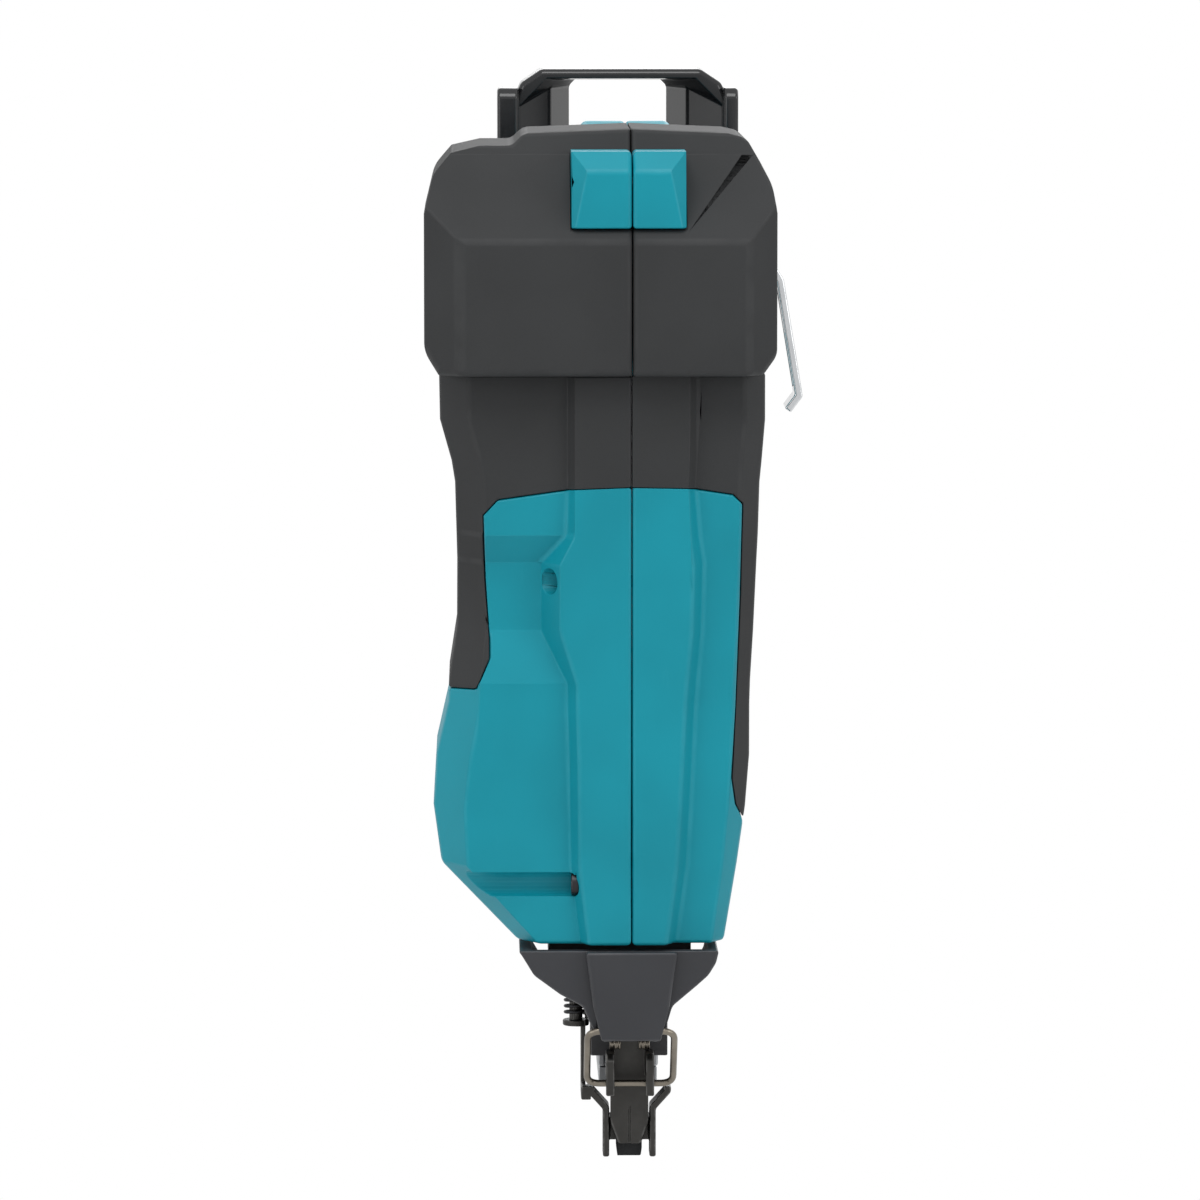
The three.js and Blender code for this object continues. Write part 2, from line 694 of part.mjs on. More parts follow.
function makeLatchLever() {
  const view = symmetric([
    [lever.half, cover.bottom],
    [lever.halfMiddle, lever.middle],
    [lever.halfTop, cover.top],
  ]);
  const slab = coverSlab(fit + lever.thickness, fit);
  let made = prism('y', view, [-headFront, 0]).intersect(prism('x', slab, [-headLeft, headRight]));
  for (const side of [-1, 1]) {
    const reach = [side * lever.earIn, side * lever.earOut].sort((a, b) => a - b);
    made = made.add(rod('x', lever.radius, reach, [hinge.y, hinge.z], 16));
  }
  made = made.subtract(rod('x', hinge.pin + fit, [-headLeft, headLeft], [hinge.y, hinge.z], 12));
  for (const side of [-1, 1]) {
    const reach = [side * (lever.earOut - fit), side * headLeft].sort((a, b) => a - b);
    made = made.subtract(rod('x', bail.radius + fit / 2, reach, [bail.top.y, bail.top.z], 10));
  }
  return made;
}

// Wire bail hung in the lever, its bar under the two hooks of the door
const bendSteps = 5;
const bail = {
  radius: 1.1, half: 12.7, bend: 3, top: { y: -29.6, z: 42 }, bar: { y: -12.6, z: 23.6 }, grip: 4.6,
};
function makeBail() {
  const { half: reach, bend, top, bar, grip } = bail;
  const at = (x, { y, z }) => new THREE.Vector3(x, y, z);
  const corners = [
    at(grip - reach, top),
    at(-reach, top),
    at(-reach, bar),
    at(reach, bar),
    at(reach, top),
    at(reach - grip, top),
  ];
  const line = [corners[0]];
  for (let i = 1; i + 1 < corners.length; i += 1) {
    const into = corners[i - 1].clone().sub(corners[i]).setLength(bend).add(corners[i]);
    const out = corners[i + 1].clone().sub(corners[i]).setLength(bend).add(corners[i]);
    const round = new THREE.QuadraticBezierCurve3(into, corners[i], out);
    line.push(...round.getPoints(bendSteps));
  }
  line.push(corners.at(-1));
  return sweep(line, bail.radius, 10);
}
add('latch_lever', makeLatchLever(), satinBlack);
add('latch_bail', makeBail(), wireSteel);
add('latch_pin', rod('x', hinge.pin, [-lever.earOut, lever.earOut], [hinge.y, hinge.z], 12), hardSteel);

// Die-cast nose body: the driver's channel, the guide for the contact arm's rod and the lever's cheeks
const deckThickness = 6;
const nose = {
  half: 5.2, bottom: 18.5, shoulder: 30, deckTop: 66, deckLeft: 24, deckRight: 18, deckFront: 12,
};
const noseDeck = nose.deckTop - deckThickness;
const blade = { tipHalf: 2.6, half: 3.3, left: 5.2, tooth: 3, thickness: 1.6, tip: 76, shoulder: 113 };
const upright = { left: 2.6, right: 12, half: 7.7, armLow: 106, armHigh: 126 };
const cheek = { inner: 2.8, outer: 5, radius: 2.7 };
const rodPlace = { x: -15.7, y: 5, radius: 2 };
const guide = { left: 20, low: 51.5, high: 60.5, front: 0.5 };
const slotDepth = 1.1;
const nailHalf = 0.6;
function makeNoseBody() {
  const front = -noseFront;
  let made = join(
    block([-nose.half, nose.half], [front, noseBack], [nose.bottom, nose.shoulder + overrun]),
    block([-noseHalf, noseHalf], [front, noseBack], [nose.shoulder, nose.deckTop]),
    block([-nose.deckLeft, nose.deckRight], [-nose.deckFront, noseBack], [noseDeck, nose.deckTop]),
    block([-upright.left, upright.right], [-upright.half, upright.half], [noseDeck, sleeveBottom - fit]),
    block([-guide.left, -noseHalf + overrun], [guide.front, noseBack], [guide.low, guide.high]),
  );
  const armReach = wheelX - bearing.radius - wall - fit;
  made = made.add(
    block([armReach, upright.right], [bearing.front, -upright.half + fit], [upright.armLow, upright.armHigh]),
  );
  for (const side of [-1, 1]) {
    const reach = [side * cheek.inner, side * cheek.outer].sort((a, b) => a - b);
    const height = [hinge.z - cheek.radius, hinge.z + cheek.radius];
    made = join(
      made,
      block(reach, [hinge.y, front + overrun], height),
      rod('x', cheek.radius, reach, [hinge.y, hinge.z], 16),
    );
  }
  const narrow = [-blade.tipHalf - fit, blade.tipHalf + fit];
  const wide = [-blade.left - blade.tooth - 2 * fit, blade.half + fit];
  const wideLow = blade.shoulder - stroke - 2 * fit;
  const through = [-slotDepth, slotDepth];
  const nailHeight = [magazineBottom, blade.tip - fit];
  const rodReach = [guide.low - overrun, nose.deckTop + overrun];
  const bearingReach = [bearing.front - overrun, 2 * fit - upright.half];
  return made
    .subtract(block(narrow, [front - overrun, slotDepth], [0, door.top]))
    .subtract(block(narrow, through, [0, noseDeck]))
    .subtract(block(wide, through, [wideLow, coreTop]))
    .subtract(block([-nailHalf - fit, nailHalf + fit], [0, noseBack + overrun], nailHeight))
    .subtract(rod('x', hinge.pin + fit, [-noseHalf, noseHalf], [hinge.y, hinge.z], 12))
    .subtract(rod('z', rodPlace.radius + fit, rodReach, [rodPlace.x, rodPlace.y], 16))
    .subtract(rod('y', bearing.radius + fit, bearingReach, [wheelX, wheelZ]));
}

// Front plate of the nose, closing the channel, with the two hooks that the bail pulls on
const door = { top: 37.6, taper: 10.5, tipHalf: 3.5, front: 6.9, slit: 0.35, slitTop: 15.6, slitDepth: 0.5 };
const hook = { inner: 4.6, outer: 7.1, top: 32.8, low: 20.4, ceiling: 25.1, lip: 1.6, out: 16.9 };
function makeDoor() {
  const view = symmetric([[door.tipHalf, tipHeight], [doorHalf, door.taper], [doorHalf, door.top]]);
  const hookSide = [
    [-door.front + fit, hook.top],
    [hook.lip - hook.out, hook.top],
    [-hook.out, hook.top - hook.lip],
    [-hook.out, hook.low],
    [hook.lip - hook.out, hook.low],
    [hook.lip - hook.out, hook.ceiling],
    [-door.front + fit, hook.ceiling],
  ];
  const made = join(
    prism('y', view, [-door.front, -noseFront - fit]),
    prism('x', hookSide, [-hook.outer, -hook.inner]),
    prism('x', hookSide, [hook.inner, hook.outer]),
  );
  const slitReach = [-door.front - overrun, door.slitDepth - door.front];
  const slit = block([-door.slit, door.slit], slitReach, [0, door.slitTop]);
  return made.subtract(slit);
}

// Ribbed bushes on the front plate's hinge pin
const bush = { radius: 1.5, ridge: 1.75, y: -8.9, z: 34.8, inner: 2.7, outer: 5.9, ribs: 3, sides: 12 };
function makeBush(side) {
  const pitch = (bush.outer - bush.inner) / (2 * bush.ribs - 1);
  let made = rod('x', bush.radius, [bush.inner, bush.outer], [bush.y, bush.z], bush.sides);
  for (let i = 0; i < bush.ribs; i += 1) {
    const low = bush.inner + 2 * i * pitch;
    made = made.add(rod('x', bush.ridge, [low, low + pitch], [bush.y, bush.z], bush.sides));
  }
  return side < 0 ? made.mirror([1, 0, 0]) : made;
}

// Contact arm: two steel legs beside the nose, a foot round the channel and a rod up to its spring
const arm = {
  thickness: 1.9, in: 6.9, out: 11.4, bendLow: 15, bendHigh: 20, top: 21.5, front: 6.2, low: 0.3,
};
const foot = { low: 4.8, high: 11.6, back: 6.4 };
const strap = { inner: 12.9, outer: 14.3, low: 17.5, linkHigh: 21.5, front: 2, back: 8 };
const coil = { low: 40.2, high: 51.2, radius: 3.15, wire: 0.5, turns: 5, steps: 8, sides: 5 };
const flange = { radius: 3.9, low: 38.2 };
function makeContactArm() {
  const legLine = [[arm.in, arm.low], [arm.in, arm.bendLow], [arm.out, arm.bendHigh], [arm.out, arm.top]];
  const leg = prism('y', ribbon(legLine, arm.thickness), [-arm.front, noseFront]);
  const place = [rodPlace.x, rodPlace.y];
  const bore = block([-blade.tipHalf - fit, blade.tipHalf + fit], [-slotDepth, slotDepth], [0, coreTop]);
  return join(
    leg,
    leg.mirror([1, 0, 0]),
    block([-arm.in, arm.in], [-noseFront, foot.back], [foot.low, foot.high]),
    block([-strap.outer, -arm.out], [-arm.front, -noseFront - fit], [strap.low, strap.linkHigh]),
    block([-strap.outer, -strap.inner], [-arm.front, strap.back], [strap.low, strap.linkHigh]),
    block([-strap.outer, -strap.inner], [strap.front, strap.back], [strap.low, coil.low - fit]),
    rod('z', rodPlace.radius, [flange.low, nose.deckTop - contactTravel + fit], place, 16),
    rod('z', flange.radius, [flange.low, coil.low - fit], place, 20),
  ).subtract(bore);
}

function makeNoseTip() {
  const view = symmetric([
    [door.tipHalf, 0],
    [door.tipHalf + fit, tipHeight / 2],
    [door.tipHalf + fit, tipHeight],
  ]);
  const bore = block([-blade.tipHalf, blade.tipHalf], [-slotDepth, slotDepth], [-overrun, tipHeight + overrun]);
  return prism('y', view, [-noseFront, foot.back]).subtract(bore);
}

// The contact arm's spring, one turn after another, with straight ends
function makeCoil() {
  const lead = 2 * coil.wire;
  const at = (angle, z) => new THREE.Vector3(
    rodPlace.x + coil.radius * Math.cos(angle),
    rodPlace.y + coil.radius * Math.sin(angle),
    z,
  );
  const [low, high] = [coil.low + lead, coil.high - lead];
  const count = coil.turns * coil.steps;
  const line = [at(0, coil.low)];
  for (let i = 0; i <= count; i += 1) {
    line.push(at((i / coil.steps) * 2 * Math.PI, low + ((high - low) * i) / count));
  }
  line.push(at(0, coil.high));
  let gap = Infinity;
  line.forEach((point, i) => {
    line.slice(i + coil.steps / 2).forEach((other) => {
      gap = Math.min(gap, point.distanceTo(other) - 2 * coil.wire);
    });
  });
  console.log(`least gap between the spring's turns: ${gap.toFixed(2)} mm`);
  return sweep(line, coil.wire, coil.sides);
}
add('nose_body', makeNoseBody(), darkAluminium);
add('nose_plate', makeDoor(), blackSteel);
add('hinge_bush_right', makeBush(-1), wireSteel);
add('hinge_bush_left', makeBush(1), wireSteel);
add('contact_arm', makeContactArm(), blackSteel);
add('nose_tip', makeNoseTip(), elastomer);
add('contact_spring', makeCoil(), blackSteel);

// Driver: a blade with lifting teeth, hung from a piston in its cylinder
const bumper = { height: 12, bore: 11 };
const piston = { height: 13, groove: 3, grooveLow: 5, depth: 2.2 };
const pistonLow = sleeveBottom + overrun + bumper.height + stroke + 2 * fit;
const toothPitch = stroke / (toothCount - 1);
const pin = { radius: 2, gap: 0.35 };
const toothFlat = 1.1;
function makeBlade() {
  const half = blade.thickness / 2;
  let made = join(
    block([-blade.tipHalf, blade.tipHalf], [-half, half], [blade.tip, blade.shoulder + overrun]),
    block([-blade.left, blade.half], [-half, half], [blade.shoulder, pistonLow - fit]),
  );
  for (let i = 0; i < toothCount; i += 1) {
    const low = wheelZ + pin.radius + pin.gap + i * toothPitch;
    const left = -blade.left;
    const side = [
      [left + fit, low],
      [left - blade.tooth, low],
      [left - blade.tooth, low + toothFlat],
      [left + fit, low + 2 * blade.tooth],
    ];
    made = made.add(prism('y', side, [-half, half]));
  }
  return made;
}
function lathe(profile, sides, place = [0, 0, 0]) {
  const geometry = new THREE.LatheGeometry(profile.map(([r, z]) => new THREE.Vector2(r, z)), sides);
  return solid(geometry.rotateX(Math.PI / 2).translate(...place));
}
function makePiston() {
  const radius = boreRadius - fit;
  const grooved = radius - piston.depth;
  const low = pistonLow;
  return lathe([
    [0, low],
    [radius - piston.depth / 2, low],
    [radius, low + piston.depth / 2],
    [radius, low + piston.grooveLow],
    [grooved, low + piston.grooveLow],
    [grooved, low + piston.grooveLow + piston.groove],
    [radius, low + piston.grooveLow + piston.groove],
    [radius, low + piston.height],
    [0, low + piston.height],
  ], 28);
}
function makeSeal() {
  const low = pistonLow + piston.grooveLow + fit;
  const high = low + piston.groove - 2 * fit;
  return ring('z', boreRadius - fit / 3, boreRadius - piston.depth, [low, high], [0, 0], 28);
}
function makeSleeve() {
  const floor = sleeveBottom + overrun;
  const bore = bumper.bore - fit;
  return lathe([
    [bore, sleeveBottom],
    [sleeveRadius, sleeveBottom],
    [sleeveRadius, sleeveTop],
    [boreRadius, sleeveTop],
    [boreRadius, floor],
    [bore, floor],
    [bore, sleeveBottom],
  ], 28);
}
const tank = { radius: 26.4, wall: 2.4, low: 158, high: headTop - 38, top: headTop - 22, neck: 14 };
function makeTank() {
  const { radius, wall: shellWall, low, high, top, neck } = tank;
  const mouth = sleeveRadius + fit;
  return lathe([
    [mouth, low],
    [radius, low],
    [radius, high],
    [neck, top],
    [0, top],
    [0, top - shellWall],
    [neck - shellWall / 2, top - shellWall],
    [radius - shellWall, high - shellWall / 2],
    [radius - shellWall, low + shellWall],
    [mouth, low + shellWall],
    [mouth, low],
  ], 28);
}
add('driver_blade', makeBlade(), hardSteel);
add('piston', makePiston(), aluminium);
add('piston_seal', makeSeal(), satinBlack);
add('cylinder', makeSleeve(), aluminium);
const bumperLow = sleeveBottom + overrun + fit;
const bumperHeight = [bumperLow, bumperLow + bumper.height - fit];
add('drive_bumper', ring('z', boreRadius - fit, bumper.bore, bumperHeight, [0, 0], 32), urethane);
add('air_chamber', makeTank(), aluminium);

// Lifter: a wheel of pins that raises the blade tooth by tooth, turned by a planetary gear and motor
const wheel = { radius: 21.6, inner: 2, outer: 4.8, shaft: 3.8, back: 8.4 };
const toothAngle = toothPitch / pitchRadius;
function makeLifterWheel() {
  const centre = [wheelX, wheelZ];
  let made = join(
    rod('y', wheel.radius, [-wheel.outer, -wheel.inner], centre, 24),
    rod('y', wheel.radius, [wheel.inner, wheel.outer], centre, 24),
    rod('y', pitchRadius / 2, [-wheel.outer, wheel.outer], centre, 16),
    rod('y', wheel.shaft, [bearing.front + fit, wheel.back], centre, 16),
  );
  for (let i = 0; i < toothCount; i += 1) {
    const angle = i * toothAngle;
    const spot = [wheelX + pitchRadius * Math.cos(angle), wheelZ + pitchRadius * Math.sin(angle)];
    made = made.add(rod('y', pin.radius, [-wheel.inner - fit, wheel.inner + fit], spot, 10));
  }
  return made;
}
function makeBearing(low, bore) {
  return ring('y', bearing.radius, bore, [low, low + bearing.length], [wheelX, wheelZ], 24);
}

// A gear's outline, its teeth as flat-topped waves
function gear(teeth, root, tip, [a, b], phase = 0) {
  return Array.from({ length: teeth * 4 }, (_, i) => {
    const angle = ((i + phase) / (teeth * 4)) * 2 * Math.PI;
    const radius = i % 4 < 2 ? tip : root;
    return [a + radius * Math.cos(angle), b + radius * Math.sin(angle)];
  });
}
const gears = { front: 12.6, back: 19, sun: 4.2, planet: 6.4, ring: 17.7, tooth: 1.1 };
const sunTeeth = 9;
const planetTeeth = 12;
const ringTeeth = 27;
const orbit = gears.sun + gears.planet + fit;
const gearCase = { front: 8.9, outer: 24.4, inner: 21.8, back: 33.6, wall: 2.2, shaft: 6 };
const carrier = { front: 11.4, back: 12.3, radius: 15, pin: 1.9 };
const planets = 3;
function turned(profile, sides) {
  const geometry = new THREE.LatheGeometry(profile.map(([r, y]) => new THREE.Vector2(r, y)), sides);
  return solid(geometry.translate(wheelX, 0, wheelZ));
}
function makeGearCase() {
  const { front, outer: outside, inner, back, wall: face, shaft } = gearCase;
  return turned([
    [shaft, front],
    [outside, front],
    [outside, back],
    [inner, back],
    [inner, front + face],
    [shaft, front + face],
    [shaft, front],
  ], 28);
}
function makeRingGear() {
  const { front, back, ring: tip, tooth } = gears;
  const outside = rod('y', gearCase.inner - fit, [front, back], [wheelX, wheelZ], 28);
  const inside = gear(ringTeeth, tip + fit, tip + fit + tooth, [wheelX, wheelZ]);
  return outside.subtract(prism('y', inside, [front - overrun, back + overrun]));
}
function planetPlace(i) {
  const angle = (i / planets) * 2 * Math.PI;
  return [wheelX + orbit * Math.cos(angle), wheelZ + orbit * Math.sin(angle)];
}
function makeCarrier() {
  const { front, back, radius, pin: pinRadius } = carrier;
  const hub = gearCase.shaft - fit;
  let made = turned([
    [0, wheel.back + fit],
    [hub, wheel.back + fit],
    [hub, front],
    [radius, front],
    [radius, back],
    [0, back],
  ], 24);
  for (let i = 0; i < planets; i += 1) {
    made = made.add(rod('y', pinRadius, [back - fit, gears.back], planetPlace(i), 10));
  }
  return made;
}
function makePlanet(i) {
  const { front, back, planet, tooth } = gears;
  return prism('y', gear(planetTeeth, planet - tooth, planet, planetPlace(i)), [front, back])
    .subtract(rod('y', carrier.pin + fit, [front - overrun, back + overrun], planetPlace(i), 12));
}
const rotor = { radius: 14.2, front: 38, back: 80, shaft: 2.5, end: 101, gap: 0.8 };
function makeRotor() {
  const { front, back, sun, tooth } = gears;
  return join(
    prism('y', gear(sunTeeth, sun - tooth, sun, [wheelX, wheelZ]), [front + fit, back]),
    rod('y', rotor.shaft, [front + fit, rotor.end], [wheelX, wheelZ], 16),
    rod('y', rotor.radius, [rotor.front, rotor.back], [wheelX, wheelZ], 24),
  );
}
function makeStator() {
  const low = gearCase.back + fit;
  return ring('y', motorRadius, rotor.radius + rotor.gap, [low, motorBack], [wheelX, wheelZ], 28);
}
const fan = { radius: 21, hub: 5, low: 86.5, high: 93, plate: 1.5, blades: 7, thickness: 1.2 };
function makeFan() {
  const centre = [wheelX, wheelZ];
  let made = join(
    rod('y', fan.radius, [fan.low, fan.low + fan.plate], centre, 24),
    rod('y', fan.hub, [fan.low, fan.high], centre, 16),
  );
  for (let i = 0; i < fan.blades; i += 1) {
    const vane = new THREE.BoxGeometry(fan.radius - fan.hub, fan.high - fan.low, fan.thickness);
    vane.translate((fan.radius + fan.hub) / 2 - fit, (fan.high + fan.low) / 2, 0);
    vane.rotateY((i / fan.blades) * 2 * Math.PI);
    made = made.add(solid(vane.translate(wheelX, 0, wheelZ)));
  }
  return made.subtract(rod('y', rotor.shaft + fit, [0, deep], centre, 16));
}
add('lifter_wheel', makeLifterWheel(), hardSteel);
add('front_bearing', makeBearing(bearing.front, wheel.shaft + fit), hardSteel);
add('rear_bearing', makeBearing(bearing.rear, bearing.bore), hardSteel);
add('gear_case', makeGearCase(), aluminium);
add('ring_gear', makeRingGear(), hardSteel);
add('planet_carrier', makeCarrier(), hardSteel);
for (let i = 0; i < planets; i += 1) {
  add(`planet_gear_${i + 1}`, makePlanet(i), hardSteel);
}
add('motor_rotor', makeRotor(), copper);
add('motor_stator', makeStator(), blackSteel);
add('motor_fan', makeFan(), satinBlack);

// Magazine: a channel over the nails, a track that slides out of its rear, and the pusher on it
const magazineFront = noseBack + fit;
const magazineWall = 2.2;
const track = { low: 18.5, top: 23.6, front: 16, back: 208.4, finLeft: 3.8, finRight: 1.2, finTop: 70 };
const nails = { front: 1.2, back: 78, low: 24.4, high: 74.4, head: 1.2, pitch: 9.6, groove: 0.12 };
const pusher = { length: 14, right: 6.4, low: 23.9, high: 72 };
function makeMagazine() {
  const outline = symmetric([
    [magazineHalf, magazineBottom],
    [magazineHalf, magazineTop - magazineWall],
    [magazineHalf - magazineWall, magazineTop],
  ]);
  const inside = block(
    [magazineWall - magazineHalf, magazineHalf - magazineWall],
    [magazineFront - overrun, magazineBack + overrun],
    [magazineBottom - overrun, magazineTop - magazineWall],
  );
  return prism('y', outline, [magazineFront, magazineBack]).subtract(inside);
}
function makeTrack() {
  return join(
    block([fit - magazineHalf, magazineHalf - fit], [track.front, track.back], [track.low, track.top]),
    block([-track.finLeft, -track.finRight], [track.front, magazineBack], [track.low, track.finTop]),
  );
}
function makeNails() {
  const { front, back, low, high, head: headHeight, pitch, groove } = nails;
  let made = block([-nailHalf, nailHalf], [front, back], [low, high]);
  for (let y = front + pitch; y < back - pitch / 2; y += pitch) {
    for (const side of [-1, 1]) {
      const reach = [side * (nailHalf - groove), side * (nailHalf + groove)].sort((a, b) => a - b);
      made = made.subtract(block(reach, [y - groove, y + groove], [low - overrun, high - headHeight]));
    }
  }
  return made;
}
const pusherFront = nails.back + fit;
const drum = { radius: 5, z: 50 };
const latch = { half: 6, front: 205.3, back: 208.4, low: 23.9, high: 58 };
function makeLatch() {
  const side = [
    [latch.front, latch.low],
    [latch.back, latch.low],
    [latch.back, latch.high - overrun],
    [latch.back + overrun, latch.high],
    [latch.front + overrun, latch.high],
    [latch.front, latch.high - overrun],
  ];
  return prism('x', side, [-latch.half, latch.half]);
}
add('magazine_channel', makeMagazine(), darkAluminium);
add('magazine_track', makeTrack(), blackSteel);
add('nail_strip', makeNails(), hardSteel);
const pusherReach = [-track.finRight + fit, pusher.right];
const pusherBack = pusherFront + pusher.length;
add('nail_pusher', block(pusherReach, [pusherFront, pusherBack], [pusher.low, pusher.high]), satinBlack);
const drumPlace = [pusherBack + fit + drum.radius, drum.z];
const drumReach = [fit - track.finRight + fit, pusher.right - fit];
add('pusher_spring', rod('x', drum.radius, drumReach, drumPlace, 20), hardSteel);
add('magazine_latch', makeLatch(), satinBlack);

// Trigger, hung in the front of the handle, with its switch above it
const trigger = { half: 6.4, low: headTop - 72.5, front: 58.2, back: 76.5, top: headTop - 35.5 };
const triggerFrontShares = [[0, 0.82], [0.1, 0.66], [0.21, 0.45], [0.18, 0.23], [0.07, 0.08], [0.15, 0]];
const triggerBackShares = [[0.4, 0.04], [0.43, 0.23], [0.51, 0.45], [0.7, 0.66], [1, 0.8], [1, 1], [0, 1]];
function makeTrigger() {
  const { low, front, back, top } = trigger;
  const pinPlace = [triggerPin.y, triggerPin.z];
  const side = [...triggerFrontShares, ...triggerBackShares].map(([y, z]) => [
    front + (back - front) * y,
    low + (top - low) * z,
  ]);
  return prism('x', side, [-trigger.half, trigger.half])
    .add(rod('x', triggerPin.radius, [-triggerPin.half, triggerPin.half], pinPlace, 12));
}
const switchBox = {
  half: 10.4, front: 70, back: 96, low: headTop - 30, high: headTop - 18, plunger: 1.6, reach: 2.4,
};
function makeSwitch() {
  const { half: wide, front, back, low, high, plunger, reach } = switchBox;
  const tip = rod('z', plunger, [low - reach, low + fit], [0, front + 2 * plunger], 12);
  return block([-wide, wide], [front, back], [low, high]).add(tip);
}
add('trigger', makeTrigger(), satinBlack);
add('trigger_switch', makeSwitch(), satinBlack);

// Foot: controller board, terminal block, rails, hoop and belt hook
const board = { half: 26, front: 203.3, back: 206.5, low: 188, high: 216.4 };
const terminal = { half: 13, front: 204, back: 216.5, low: 217, high: 247, blades: 3, blade: 0.8, depth: 7 };
const rail = { inner: 20, outer: 23, lip: 26.5, depth: 9, lipDepth: 2.6, low: 192, high: 276, plate: 2.3 };
function railPlan(by) {
  const back = footBack + rail.plate - by;
  const end = footBack + rail.depth;
  return [
    [rail.inner - by, back],
    [rail.outer + by, back],
    [rail.outer + by, end - rail.lipDepth - by],
    [rail.lip + by, end - rail.lipDepth - by],
    [rail.lip + by, end + by],
    [rail.inner - by, end + by],
  ];
}
function makeRails() {
  const one = prism('z', railPlan(fit), [rail.low, rail.high]);
  const window = block(
    [-terminal.half - fit, terminal.half + fit],
    [footBack - overrun, footBack + rail.depth],
    [terminal.low - fit, terminal.high + fit],
  );
  const face = block([-rail.lip, rail.lip], [footBack + fit, footBack + rail.plate], [rail.low, rail.high]);
  return join(face, one, one.mirror([1, 0, 0])).subtract(window);
}
function makeTerminal() {
  const { half: wide, front, back, low, high, blades, blade: slotHalf, depth } = terminal;
  let made = block([-wide, wide], [front, back], [low, high]);
  for (let i = 0; i < blades; i += 1) {
    const x = ((i - (blades - 1) / 2) * 2 * wide) / blades;
    const slotReach = [back - depth, back + overrun];
    made = made.subtract(block([x - slotHalf, x + slotHalf], slotReach, [low - overrun, high - overrun]));
  }
  return made;
}
const hoop = {
  left: 33.3, right: 36.5, top: 316.5, shoulder: 11, front: 198, middle: 209.4, back: 222, bevel: 1.2, rim: 2.2,
};
const hoopWindow = { left: 14.7, right: 16.6, low: batteryTop + 2 * fit, high: hoop.top - 3.6, corner: 2.5 };
const funnel = { side: 21, top: hoop.top - 3, throat: 207 };
const ear = {
  leftIn: 31.5, leftOut: 38.2, rightIn: 34.6, rightOut: 39.1, top: 310.6, front: 191, back: 204, bevel: 2.4,
};
const hoopCornerShares = [[0, 1], [0.25, 0.4], [0.85, 0]];
function hoopOutline(by, base) {
  const corner = hoopCornerShares.map(([x, z]) => [hoop.shoulder * x, hoop.top - hoop.shoulder * z]);
  const right = corner.map(([x, z]) => [hoop.right - x, z]);
  const left = corner.map(([x, z]) => [x - hoop.left, z]).reverse();
  return inset([[-hoop.left, base], [hoop.right, base], ...right, ...left], by);
}
function windowOutline(left, right, high, corner) {
  const { low } = hoopWindow;
  return [
    [-left, low],
    [right, low],
    [right, high - corner],
    [right - corner, high],
    [corner - left, high],
    [-left, high - corner],
  ];
}
function makeHoop() {
  const { left, right, high, corner } = hoopWindow;
  const low = footTop + fit;
  const over = batteryTop + fit;
  const { rim, bevel } = hoop;
  const body = loft('y', [
    { at: hoop.front, points: hoopOutline(bevel, low) },
    { at: hoop.front + bevel, points: hoopOutline(0, low) },
    { at: hoop.middle, points: hoopOutline(0, low) },
  ]).add(loft('y', [
    { at: hoop.middle - overrun, points: hoopOutline(0, over) },
    { at: hoop.back - bevel, points: hoopOutline(0, over) },
    { at: hoop.back, points: hoopOutline(bevel, over) },
  ]));
  const mouth = windowOutline(hoop.left - rim, hoop.right - rim, funnel.top, hoop.shoulder - rim);
  const opening = loft('y', [
    { at: hoop.front - overrun, points: mouth },
    { at: hoop.front + bevel, points: mouth },
    { at: funnel.throat, points: windowOutline(funnel.side, funnel.side + right - left, high, corner) },
    { at: hoop.back, points: windowOutline(left, right, high, corner) },
    { at: hoop.back + overrun, points: windowOutline(left, right, high, corner) },
  ]);
  const earSide = [
    [ear.front, footTop + fit],
    [ear.front, ear.top - ear.bevel],
    [ear.front + ear.bevel, ear.top],
    [ear.back, ear.top],
    [ear.back, footTop + fit],
  ];
  return join(
    body.subtract(opening),
    prism('x', earSide, [-ear.leftOut, -ear.leftIn]),
    prism('x', earSide, [ear.rightIn, ear.rightOut]),
  );
}
const hookStrip = {
  thickness: 2.4, front: 190.5, back: 207.5, slot: 4.2, low: footTop - 56, high: footTop - 28, out: 51.5, end: 60,
  tip: footTop - 77,
};
function makeBeltHook() {
  const { thickness, front, back, slot, low, high, out, end, tip } = hookStrip;
  const base = footHalf + fit + thickness / 2;
  const line = [
    [base, low],
    [base, high - thickness],
    [base + thickness, high],
    [out - thickness, high - thickness / 2],
    [out + thickness / 2, high - 3 * thickness],
    [end - thickness / 2, tip + 2 * thickness],
    [end - 2 * thickness, tip],
  ];
  const strip = prism('y', ribbon(line, thickness), [front, back]);
  const window = block([out - thickness, end + overrun], [front + slot, back - slot], [
    tip + 3 * thickness,
    high - 4 * thickness,
  ]);
  const hole = rod('x', hookScrew.radius + fit, [0, base + 2 * thickness], hookScrew.place, 16);
  const driverWay = rod('x', hookScrew.head, [out - thickness, end], hookScrew.place, 16);
  return strip.subtract(window).subtract(hole).subtract(driverWay);
}
function makeHookScrew() {
  const face = footHalf + fit + hookStrip.thickness + fit;
  const { radius, head: headRadius, height, place, depth } = hookScrew;
  return join(
    rod('x', radius, [footHalf - depth, face + fit], place, 12),
    rod('x', headRadius, [face, face + height], place, 20),
  ).subtract(rod('x', headRadius / 2, [face + height / 2, face + height + overrun], place, 6));
}
const boardHeight = [board.low, board.high];
add('controller_board', block([-board.half, board.half], [board.front, board.back], boardHeight), boardGreen);
add('terminal_block', makeTerminal(), satinBlack);
add('battery_rails', makeRails(), glossBlack);
add('rear_hoop', makeHoop(), glossBlack);
add('belt_hook', makeBeltHook(), chrome);
add('belt_hook_screw', makeHookScrew(), blackSteel);

